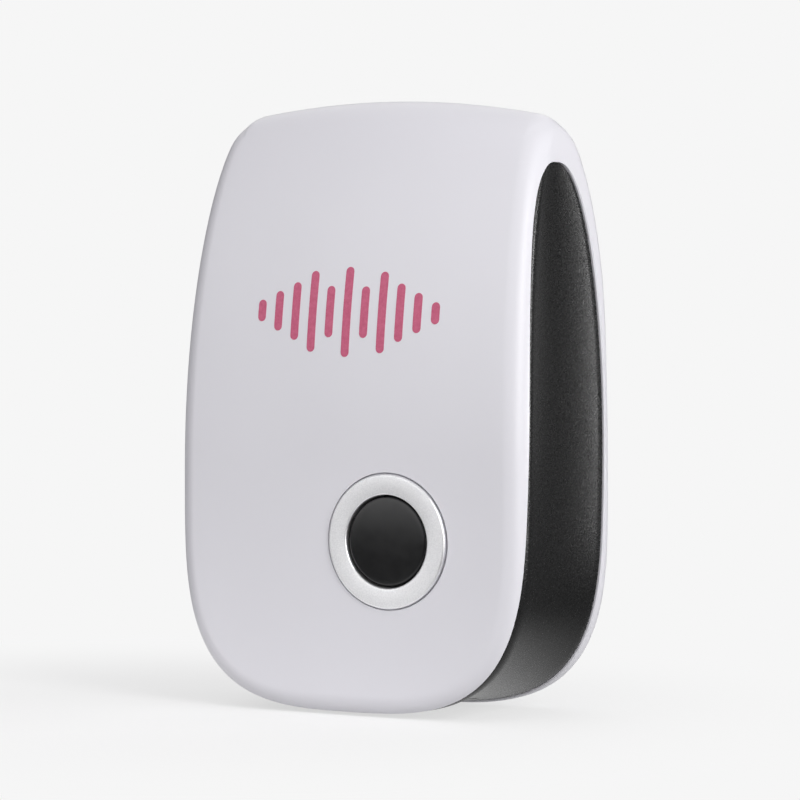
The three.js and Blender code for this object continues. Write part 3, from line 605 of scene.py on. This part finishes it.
def button_cap():
    """Polished black cap with a slightly dished face, its skirt, flange and stem."""
    radius, shoulder = 6.95, 0.4
    flange_radius, stem_radius = 8.15, 2.2
    flange_front, flange_back, stem_back = 3.6, 4.6, 6.1
    face_y, dish, steps = -0.15, 0.17, 12
    shares = [k / steps for k in range(steps)]
    profile = [[(radius - shoulder) * share, face_y + dish * share**2] for share in shares]
    profile += arc(radius - shoulder, shoulder + 0.02, shoulder, 270, 360, 6)
    profile += [[radius, flange_front], [flange_radius, flange_front], [flange_radius, flange_back]]
    profile += [[stem_radius, flange_back], [stem_radius, stem_back], [0, stem_back]]
    builder = Builder()
    lathe(builder, BEZEL_X, BEZEL_Z, profile, 160)
    return smooth(builder.build("button_cap_skin"))


def printed_mark():
    """Plain level-meter print: rounded upright bars that lie on the curved face."""
    heights = [3.4, 6.2, 9.0, 12.6, 8.0, 14.0, 8.0, 12.6, 9.0, 6.2, 3.4]
    pitch, half_bar, centre_z, ink = 3.16, 0.72, 63.0, 0.035
    builder = Builder()
    for k, height in enumerate(heights):
        x = (k - (len(heights) - 1) / 2) * pitch
        straight = height / 2 - half_bar
        turn = np.linspace(-math.pi / 2, math.pi / 2, 9)
        ends = [(-straight + half_bar * math.sin(a), half_bar * math.cos(a)) for a in turn[:5]]
        ends += [(straight * s, half_bar) for s in np.linspace(-1, 1, 14)[1:-1]]
        ends += [(straight + half_bar * math.sin(a), half_bar * math.cos(a)) for a in turn[4:]]
        rows = []
        for offset, half in ends:
            z = centre_z + offset
            across = x + half * np.array([-1, -1, -0.5, 0, 0.5, 1, 1])
            y = front_y(across, z) - ink * np.array([-0.5, 1, 1, 1, 1, 1, -0.5])
            rows.append(np.column_stack([across, y, np.full(len(across), z)]))
        builder.skin(builder.add(rows))
    return smooth(builder.build("printed_mark", weld=1e-7), 50)


# ---- plug blades, screws and label --------------------------------------------------------------------


def plug_blade(node):
    """Stamped blade with a tapered tip, a through hole and its tail in the block."""
    low, high = case_box(node)
    start = SEAT_Y + 0.3
    half, taper = 3.175, 1.4
    tip = high.y - taper
    corners = [(start, -half), (tip, -half), (high.y, taper - half)]
    corners += [(high.y, half - taper), (tip, half), (start, half)]
    outline = np.array([[y, PLUG_Z + z] for y, z in corners])
    piece = blade_body(node, outline, low.x, high.x)
    middle = (low.x + high.x) / 2
    half_thick, half_tall, overlap = 0.5, 2.575, 0.4
    sides = (middle - half_thick, middle + half_thick, PLUG_Z - half_tall, PLUG_Z + half_tall)
    tail = Builder()
    bevelled_slab(tail, rounded_rect(*sides, 0.15, 3), low.y, start + overlap, 0.1, 1)
    cut_or_join(piece, tail.build("tool"), "UNION")
    cut_or_join(piece, blade_hole_tool(low.x, high.x), "DIFFERENCE")
    return smooth(piece)


def blade_body(node, outline, x0, x1):
    """Blade between x0 and x1, with small bevels along its rims."""
    edge, share = 0.25, 0.3
    centre = outline.mean(0)
    rows = []

    def row(inset, x):
        ring = outline - np.sign(outline - centre) * inset
        rows.append(np.column_stack([np.full(len(ring), x), ring]))

    rows.append(np.tile([x0, *centre], (len(outline), 1)))
    for inset, step in ((edge, 0), (edge * share, edge * share), (0, edge)):
        row(inset, x0 + step)
    for inset, step in ((0, edge), (edge * share, edge * share), (edge, 0)):
        row(inset, x1 - step)
    rows.append(np.tile([x1, *centre], (len(outline), 1)))
    builder = Builder()
    builder.skin(builder.add(rows))
    return builder.build(node + "_skin")


def blade_hole_tool(x0, x1):
    """Round bar along X that drills the hole near the blade's tip."""
    radius, segments = 1.6, 48
    centre = np.array([SEAT_Y + 11.9, PLUG_Z])
    turn = np.arange(segments) / segments * 2 * math.pi
    circle = radius * np.column_stack([np.cos(turn), np.sin(turn)])
    near, far = x0 - BEYOND, x1 + BEYOND
    rows = []
    for x, scale in ((near, 0), (near, 1), (far, 1), (far, 0)):
        rows.append(np.column_stack([np.full(segments, x), centre + circle * scale]))
    hole = Builder()
    hole.skin(hole.add(rows))
    return hole.build("tool")


def case_screw(node):
    """Pan-head cross-recess screw with its thread turns."""
    low, high = case_box(node)
    x, z = (low.x + high.x) / 2, (low.z + high.z) / 2
    head, shank, root = 2.6, 1.3, 0.78  # radii, and the thread's root as a share of the shank
    seat = high.y - 1.1
    lead_in, run_out, turns, flank = 0.8, 1.4, 12, 0.35
    profile = [[0, low.y], [shank * 0.3, low.y + 0.1]]
    for k in range(turns):
        y = low.y + lead_in + (seat - low.y - run_out) * k / turns
        profile += [[shank * root, y], [shank, y + flank]]
    profile += [[shank, seat], [head - 0.1, seat]]
    profile += arc(head - 0.35, seat + 0.4, 0.35, 0, 60, 4)
    profile += [[head * 0.55, high.y - 0.04], [0, high.y]]
    builder = Builder()
    lathe(builder, x, z, profile, 64)
    piece = builder.build(node + "_skin")
    long_half, short_half, recess = 1.5, 0.32, 0.7
    for half_x, half_z in ((short_half, long_half), (long_half, short_half)):
        outline = rounded_rect(x - half_x, x + half_x, z - half_z, z + half_z, 0.15, 3)
        bar = Builder()
        bevelled_slab(bar, outline, high.y - recess, high.y + BEYOND, 0.05, 1)
        cut_or_join(piece, bar.build("tool"), "DIFFERENCE")
    return smooth(piece, 28)


def rating_label():
    """Blank label with softly rounded corners."""
    low, high = case_box("rating_label")
    corner = 1.5
    builder = Builder()
    bevelled_slab(builder, rounded_rect(low.x, high.x, low.z, high.z, corner), low.y, high.y, 0.05, 2)
    return smooth(builder.build("rating_label_skin"))


# ---- materials ----------------------------------------------------------------------------------------


class Look:
    """One node material: a Principled shader with noise-driven colour, roughness and relief."""

    def __init__(self, name):
        self.material = bpy.data.materials.new(name)
        self.material.use_nodes = True
        self.nodes = self.material.node_tree.nodes
        self.links = self.material.node_tree.links
        self.shader = self.nodes["Principled BSDF"]
        self.place = self.nodes.new("ShaderNodeTexCoord").outputs["Object"]
        self.normal = None

    def set(self, **values):
        """Sets shader sockets by their names, written in lower case with underscores."""
        for key, value in values.items():
            name = key.replace("_", " ").title().replace("Ior", "IOR")
            self.shader.inputs[name].default_value = value

    def noise(self, scale, detail=3.0, roughness=0.5, stretch=None):
        """Noise of about 1/scale metres; stretch scales the axes before it."""
        texture = self.nodes.new("ShaderNodeTexNoise")
        texture.inputs["Scale"].default_value = scale
        texture.inputs["Detail"].default_value = detail
        texture.inputs["Roughness"].default_value = roughness
        place = self.place
        if stretch:
            mapping = self.nodes.new("ShaderNodeMapping")
            mapping.inputs["Scale"].default_value = stretch
            self.links.new(place, mapping.inputs["Vector"])
            place = mapping.outputs["Vector"]
        self.links.new(place, texture.inputs["Vector"])
        return texture.outputs["Fac"]

    def cells(self, scale):
        """Rounded grains of about 1/scale metres."""
        texture = self.nodes.new("ShaderNodeTexVoronoi")
        texture.inputs["Scale"].default_value = scale
        self.links.new(self.place, texture.inputs["Vector"])
        return texture.outputs["Distance"]

    def ramp(self, factor, low, high, start=0.35, end=0.65):
        """Blends from one colour to another as the factor goes from start to end."""
        ramp = self.nodes.new("ShaderNodeValToRGB")
        ramp.color_ramp.elements[0].position = start
        ramp.color_ramp.elements[1].position = end
        ramp.color_ramp.elements[0].color = (*low, 1)
        ramp.color_ramp.elements[1].color = (*high, 1)
        self.links.new(factor, ramp.inputs["Fac"])
        return ramp.outputs["Color"]

    def colour(self, factor, low, high, start=0.35, end=0.65):
        """Drives the base colour between two tones."""
        self.links.new(self.ramp(factor, low, high, start, end), self.shader.inputs["Base Color"])

    def gloss(self, factor, low, high, start=0.3, end=0.7):
        """Drives the roughness between two values."""
        span = self.nodes.new("ShaderNodeMapRange")
        span.inputs["From Min"].default_value = start
        span.inputs["From Max"].default_value = end
        span.inputs["To Min"].default_value = low
        span.inputs["To Max"].default_value = high
        self.links.new(factor, span.inputs["Value"])
        self.links.new(span.outputs["Result"], self.shader.inputs["Roughness"])

    def relief(self, factor, height, strength=1.0):
        """Adds bump of the given height in metres."""
        bump = self.nodes.new("ShaderNodeBump")
        bump.inputs["Strength"].default_value = strength
        bump.inputs["Distance"].default_value = height
        self.links.new(factor, bump.inputs["Height"])
        if self.normal:
            self.links.new(self.normal, bump.inputs["Normal"])
        self.normal = bump.outputs["Normal"]
        self.links.new(self.normal, self.shader.inputs["Normal"])


def white_shell_look():
    """Satin white with a trace of lilac, which runs through shell and back plate."""
    look = Look("satin_white_abs")
    look.colour(look.noise(18, 2), (0.79, 0.78, 0.825), (0.82, 0.81, 0.855))
    look.gloss(look.noise(90, 4, 0.6), 0.33, 0.42)
    look.relief(look.noise(2600, 2), 0.000012, 0.35)
    look.set(specular_ior_level=0.4)
    return look.material


def plug_white_look():
    """Matt white of the plug block, a little greyer than the case."""
    look = Look("matt_white_nylon")
    look.colour(look.noise(60, 3), (0.62, 0.62, 0.62), (0.68, 0.68, 0.675))
    look.gloss(look.noise(300, 4), 0.5, 0.62)
    look.relief(look.cells(3500), 0.00002, 0.4)
    return look.material


def band_look():
    """Charcoal plastic with a fine spark-eroded grain."""
    look = Look("grained_charcoal_abs")
    look.colour(look.noise(2400, 3, 0.7), (0.004, 0.004, 0.0042), (0.012, 0.012, 0.0122), 0.4, 0.62)
    look.gloss(look.noise(2600, 3, 0.5), 0.25, 0.3)
    look.relief(look.noise(3400, 2, 0.6), 0.00004, 0.5)
    look.relief(look.noise(6200, 2), 0.00002, 0.4)
    look.set(specular_ior_level=0.5)
    return look.material


def bezel_look():
    """Bead-blasted silver with a fine sparkle."""
    look = Look("satin_silver")
    look.set(metallic=1.0)
    look.colour(look.noise(4200, 3, 0.7), (0.84, 0.84, 0.855), (0.95, 0.95, 0.96))
    look.gloss(look.noise(3000, 3), 0.38, 0.52)
    look.relief(look.noise(5200, 3, 0.7), 0.00003, 0.5)
    return look.material


def button_look():
    """Polished black with faint rub marks."""
    look = Look("polished_black")
    look.colour(look.noise(120, 3), (0.006, 0.006, 0.0065), (0.01, 0.01, 0.0105))
    look.gloss(look.noise(500, 5, 0.7), 0.16, 0.24)
    look.relief(look.noise(150, 2), 0.00001, 0.15)
    look.set(specular_ior_level=0.5)
    return look.material


def ink_look():
    """Pink pad-printed ink."""
    look = Look("pink_print")
    look.colour(look.noise(1800, 4, 0.7), (0.56, 0.085, 0.185), (0.64, 0.125, 0.235))
    look.gloss(look.noise(700, 3), 0.4, 0.52)
    look.relief(look.noise(4000, 2), 0.00001, 0.3)
    return look.material


def metal_look(name, low, high, rough, stretch, scale=400.0):
    """Drawn or turned metal with lines along its stretch."""
    look = Look(name)
    look.set(metallic=1.0)
    look.colour(look.noise(70, 4, 0.6), low, high)
    lines = look.noise(scale, 4, 0.6, stretch)
    look.gloss(lines, *rough)
    look.relief(lines, 0.000015, 0.35)
    return look.material


def moulded_look(name, low, high, rough=(0.4, 0.55), grain=1800.0, clear=None):
    """Small moulded part: slight mottling, uneven gloss and a fine surface."""
    look = Look(name)
    look.colour(look.noise(grain / 4, 3), low, high)
    look.gloss(look.noise(grain / 2, 3), *rough)
    look.relief(look.noise(grain, 3), 0.00002, 0.35)
    if clear is not None:
        look.set(transmission_weight=clear, ior=1.49)
    return look.material


def board_look():
    """Green solder mask over copper tracks."""
    look = Look("green_board")
    tracks = look.noise(260, 1.5, 0.4)
    look.colour(tracks, (0.012, 0.075, 0.03), (0.03, 0.14, 0.055), 0.49, 0.51)
    look.gloss(look.noise(500, 3), 0.3, 0.42)
    look.relief(look.ramp(tracks, (0, 0, 0), (1, 1, 1), 0.49, 0.51), 0.00003, 0.5)
    return look.material


def label_look():
    """Grey label stock with a paper-like mottle."""
    look = Look("label_stock")
    look.colour(look.noise(700, 5, 0.7), (0.52, 0.53, 0.54), (0.6, 0.61, 0.62))
    look.gloss(look.noise(400, 3), 0.35, 0.5)
    look.relief(look.noise(1500, 4, 0.7), 0.00001, 0.35)
    return look.material


def winding_look():
    """Enamelled copper laid in level turns."""
    look = Look("copper_winding")
    look.set(metallic=1.0)
    turns = look.noise(900, 1, 0.3, (0.1, 0.1, 4))
    look.colour(turns, (0.35, 0.12, 0.04), (0.62, 0.27, 0.11))
    look.gloss(look.noise(500, 3), 0.28, 0.42)
    look.relief(turns, 0.00012, 0.8)
    return look.material


OWN_LOOKS = {
    "shell_white": white_shell_look,
    "plug_white": plug_white_look,
    "band_black": band_look,
    "bezel_silver": bezel_look,
    "button_black": button_look,
    "label_paper": label_look,
    "board_green": board_look,
    "winding_copper": winding_look,
}

METALS = {  # slot: name, darker and lighter tone, roughness span, stretch of the lines
    "blade_brass": ("stamped_brass", (0.62, 0.46, 0.2), (0.74, 0.58, 0.29), (0.2, 0.36), (1, 0.06, 1)),
    "screw_steel": ("zinc_steel", (0.42, 0.42, 0.42), (0.56, 0.56, 0.55), (0.25, 0.42), (1, 1, 1)),
    "cone_aluminium": ("spun_aluminium", (0.6, 0.6, 0.62), (0.74, 0.74, 0.76), (0.25, 0.4), (1, 6, 1)),
    "piezo_brass": ("piezo_brass", (0.55, 0.42, 0.18), (0.68, 0.54, 0.26), (0.3, 0.45), (1, 1, 1)),
}

MOULDED = {  # slot: name, darker and lighter tone, then the roughness span, grain and clearness if not usual
    "clear_plastic": ("clear_acrylic", (0.8, 0.84, 0.9), (0.86, 0.9, 0.95), (0.08, 0.16), 900, 0.85),
    "switch_black": ("black_nylon", (0.012, 0.012, 0.012), (0.024, 0.024, 0.024)),
    "switch_grey": ("grey_acetal", (0.15, 0.15, 0.155), (0.2, 0.2, 0.205)),
    "gasket_foam": ("closed_cell_foam", (0.02, 0.02, 0.022), (0.05, 0.05, 0.053), (0.8, 0.95), 2600),
    "core_ferrite": ("sintered_ferrite", (0.03, 0.03, 0.032), (0.06, 0.06, 0.062), (0.55, 0.75), 2200),
    "film_yellow": ("yellow_epoxy", (0.5, 0.3, 0.02), (0.58, 0.36, 0.04), (0.25, 0.38)),
    "component_black": ("black_epoxy", (0.01, 0.01, 0.011), (0.02, 0.02, 0.021), (0.28, 0.42)),
    "resistor_tan": ("tan_lacquer", (0.36, 0.24, 0.12), (0.46, 0.32, 0.17), (0.35, 0.5)),
    "wire_black": ("black_pvc", (0.012, 0.012, 0.012), (0.02, 0.02, 0.02), (0.38, 0.5), 900),
    "wire_white": ("white_pvc", (0.6, 0.6, 0.58), (0.68, 0.68, 0.66), (0.38, 0.5), 900),
}


def all_looks():
    """One material for each slot."""
    looks = {slot: make() for slot, make in OWN_LOOKS.items()}
    looks.update({slot: metal_look(*spec) for slot, spec in METALS.items()})
    looks.update({slot: moulded_look(*spec) for slot, spec in MOULDED.items()})
    return looks


def wear(piece, material):
    """Gives a piece one material in place of any it has."""
    piece.data.materials.clear()
    piece.data.materials.append(material)


# ---- assembly -----------------------------------------------------------------------------------------


def place(piece, slot, body, looks, *nodes):
    """Finishes one piece: its material, its body, its slot and the CAD nodes it stands for."""
    wear(piece, looks[slot])
    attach(piece, body)
    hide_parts(*nodes)


def finish_cad_node(piece, looks, slot):
    """Gives a carried-over CAD node its material and softened edges."""
    wear(piece, looks[slot])
    weld = piece.modifiers.new("weld", "WELD")
    weld.merge_threshold = 1e-6
    bevel = piece.modifiers.new("bevel", "BEVEL")
    bevel.width = 0.08 * MM
    bevel.segments = 2
    bevel.limit_method = "ANGLE"
    bevel.angle_limit = math.radians(40)
    bevel.harden_normals = False


def dress_object():
    """Builds every finished piece and puts its material on each CAD node that stays visible."""
    looks = all_looks()
    for make, slot, body in (
        (wrap_shell, "shell_white", "case"),
        (side_band, "band_black", "case"),
        (back_plate, "shell_white", "case"),
        (plug_insert, "plug_white", "case"),
        (bezel_ring, "bezel_silver", "case"),
        (button_cap, "button_black", "button"),
        (rating_label, "label_paper", "case"),
    ):
        place(make(), slot, body, looks, make.__name__)
    for node in ("plug_blade_left", "plug_blade_right"):
        place(plug_blade(node), "blade_brass", "case", looks, node)
    for number in range(1, 5):
        node = f"case_screw_{number}"
        place(case_screw(node), "screw_steel", "case", looks, node)
    mark = printed_mark()
    wear(mark, ink_look())
    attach(mark, "case")
    slots = {part["node"]: part["material_slot"] for part in frame["record"]["subparts"]}
    for node, piece in frame["nodes"].items():
        if not piece.hide_render:
            finish_cad_node(piece, looks, slots[node])


# ---- camera, floor and light --------------------------------------------------------------------------

CAMERA_AZIMUTH = math.radians(31.0)
CAMERA_ELEVATION = math.radians(2.646)
CAMERA_DISTANCE = 0.733
CAMERA_LENS = 208.8
CAMERA_AIM = (1.497, 14.9, 48.785)  # case millimetres


def back_vector(azimuth, elevation):
    """Unit vector from the object towards a viewer at this azimuth and elevation."""
    flat = math.cos(elevation)
    return Vector((math.sin(azimuth) * flat, -math.cos(azimuth) * flat, math.sin(elevation)))


def add_camera():
    data = bpy.data.cameras.new("camera")
    camera = bpy.data.objects.new("camera", data)
    bpy.context.scene.collection.objects.link(camera)
    back = back_vector(CAMERA_AZIMUTH, CAMERA_ELEVATION)
    camera.location = Vector(to_row([CAMERA_AIM])[0]) + back * CAMERA_DISTANCE
    camera.rotation_euler = (-back).to_track_quat("-Z", "Y").to_euler()
    data.lens = CAMERA_LENS
    data.clip_start = 0.01
    data.clip_end = 50
    bpy.context.scene.camera = camera


def add_area_light(name, azimuth, elevation, distance, size, power):
    """Soft rectangular light that faces the middle of the case from a compass direction."""
    data = bpy.data.lights.new(name, "AREA")
    data.shape = "RECTANGLE"
    data.size, data.size_y = size
    data.energy = power
    light = bpy.data.objects.new(name, data)
    bpy.context.scene.collection.objects.link(light)
    back = back_vector(math.radians(azimuth), math.radians(elevation))
    light.location = (shell_low + shell_high) / 2 + back * distance
    light.rotation_euler = (-back).to_track_quat("-Z", "Y").to_euler()


BACKGROUND = 0.9216
WORLD_FRONT_FILL = 0.35
WORLD_REAR_FILL = 0.03
WORLD_TINT = (0.98, 0.97, 1.0, 1)
WORLD_DIMMING = (-0.3, 0.4)  # share of the direction's Y between which the fill dims
FLOOR_SIZE = 12.0
FLOOR_SHADOW_SHIFT = (-0.028, -0.017)  # moves the contact shadow to the viewer's left, in metres
FLOOR_FADE = (0.03, 0.11)  # from the shadow's middle out to the plain background, in metres
FLOOR_PAPER = 0.36
FLOOR_NEAR = 0.62  # glow of the floor next to the object, which adds to the light that falls on it
FLOOR_BOUNCE = 0.2  # the same glow as it lights the object
FLOOR_FAR_FILL = 0.08  # glow of the far floor as the object sees it


def add_floor():
    """Pale floor with a soft contact shadow, which fades evenly into the background."""
    size = FLOOR_SIZE
    mesh = bpy.data.meshes.new("floor")
    corners = [(-size, -size), (size, -size), (size, size), (-size, size)]
    mesh.from_pydata([(x, y, 0) for x, y in corners], [], [(0, 1, 2, 3)])
    floor = bpy.data.objects.new("floor", mesh)
    shift_x, shift_y = FLOOR_SHADOW_SHIFT
    floor.location = (shift_x, (shell_low.y + shell_high.y) / 2 + shift_y, shell_low.z)
    bpy.context.scene.collection.objects.link(floor)
    material = bpy.data.materials.new("floor_paper")
    material.use_nodes = True
    nodes, links = material.node_tree.nodes, material.node_tree.links
    near = nodes["Principled BSDF"]
    near.inputs["Base Color"].default_value = (FLOOR_PAPER, FLOOR_PAPER, FLOOR_PAPER, 1)
    near.inputs["Roughness"].default_value = 0.9
    near.inputs["Specular IOR Level"].default_value = 0.0
    near.inputs["Emission Color"].default_value = (1, 1, 1, 1)
    path = nodes.new("ShaderNodeLightPath")
    bounce = nodes.new("ShaderNodeMapRange")
    bounce.inputs["To Min"].default_value = FLOOR_NEAR
    bounce.inputs["To Max"].default_value = FLOOR_BOUNCE
    links.new(path.outputs["Is Diffuse Ray"], bounce.inputs["Value"])
    links.new(bounce.outputs["Result"], near.inputs["Emission Strength"])
    level = nodes.new("ShaderNodeMapRange")
    level.inputs["To Min"].default_value = FLOOR_FAR_FILL
    level.inputs["To Max"].default_value = BACKGROUND
    links.new(path.outputs["Is Camera Ray"], level.inputs["Value"])
    far = nodes.new("ShaderNodeEmission")
    links.new(level.outputs["Result"], far.inputs["Strength"])
    place = nodes.new("ShaderNodeTexCoord")
    length = nodes.new("ShaderNodeVectorMath")
    length.operation = "LENGTH"
    links.new(place.outputs["Object"], length.inputs[0])
    fade = nodes.new("ShaderNodeMapRange")
    fade.interpolation_type = "SMOOTHSTEP"
    fade.inputs["From Min"].default_value, fade.inputs["From Max"].default_value = FLOOR_FADE
    links.new(length.outputs["Value"], fade.inputs["Value"])
    mix = nodes.new("ShaderNodeMixShader")
    links.new(fade.outputs["Result"], mix.inputs["Fac"])
    links.new(near.outputs["BSDF"], mix.inputs[1])
    links.new(far.outputs["Emission"], mix.inputs[2])
    links.new(mix.outputs["Shader"], nodes["Material Output"].inputs["Surface"])
    mesh.materials.append(material)


def add_world():
    """Even pale surroundings: the camera sees the background, and the object a fill that dims to the rear."""
    world = bpy.data.worlds.new("world")
    bpy.context.scene.world = world
    world.use_nodes = True
    nodes, links = world.node_tree.nodes, world.node_tree.links
    seen = nodes["Background"]
    seen.inputs["Color"].default_value = (BACKGROUND, BACKGROUND, BACKGROUND, 1)
    fill = nodes.new("ShaderNodeBackground")
    fill.inputs["Color"].default_value = WORLD_TINT
    direction = nodes.new("ShaderNodeSeparateXYZ")
    links.new(nodes.new("ShaderNodeTexCoord").outputs["Generated"], direction.inputs["Vector"])
    dimming = nodes.new("ShaderNodeMapRange")
    dimming.inputs["From Min"].default_value, dimming.inputs["From Max"].default_value = WORLD_DIMMING
    dimming.inputs["To Min"].default_value = WORLD_FRONT_FILL
    dimming.inputs["To Max"].default_value = WORLD_REAR_FILL
    links.new(direction.outputs["Y"], dimming.inputs["Value"])
    links.new(dimming.outputs["Result"], fill.inputs["Strength"])
    path = nodes.new("ShaderNodeLightPath")
    mix = nodes.new("ShaderNodeMixShader")
    links.new(path.outputs["Is Camera Ray"], mix.inputs["Fac"])
    links.new(fill.outputs["Background"], mix.inputs[1])
    links.new(seen.outputs["Background"], mix.inputs[2])
    links.new(mix.outputs["Shader"], nodes["World Output"].inputs["Surface"])


LIGHTS = [
    # name, azimuth, elevation, distance, (width, height), watts
    ("key_softbox", 66, 13, 0.9, (0.35, 0.9), 7.2),
    ("left_softbox", -22, 16, 0.9, (0.8, 0.8), 2.7),
    ("top_softbox", 20, 78, 0.9, (0.9, 0.9), 1.2),
    ("rear_left_softbox", 215, 40, 0.9, (0.7, 0.7), 1.8),
    ("rear_right_card", 120, -3, 0.7, (0.14, 0.3), 3.2),
    ("rear_card", 172, -3, 0.8, (0.25, 0.3), 0.12),
]


bpy.context.scene.view_settings.view_transform = "Standard"
add_camera()
add_floor()
add_world()
for light in LIGHTS:
    add_area_light(*light)
dress_object()
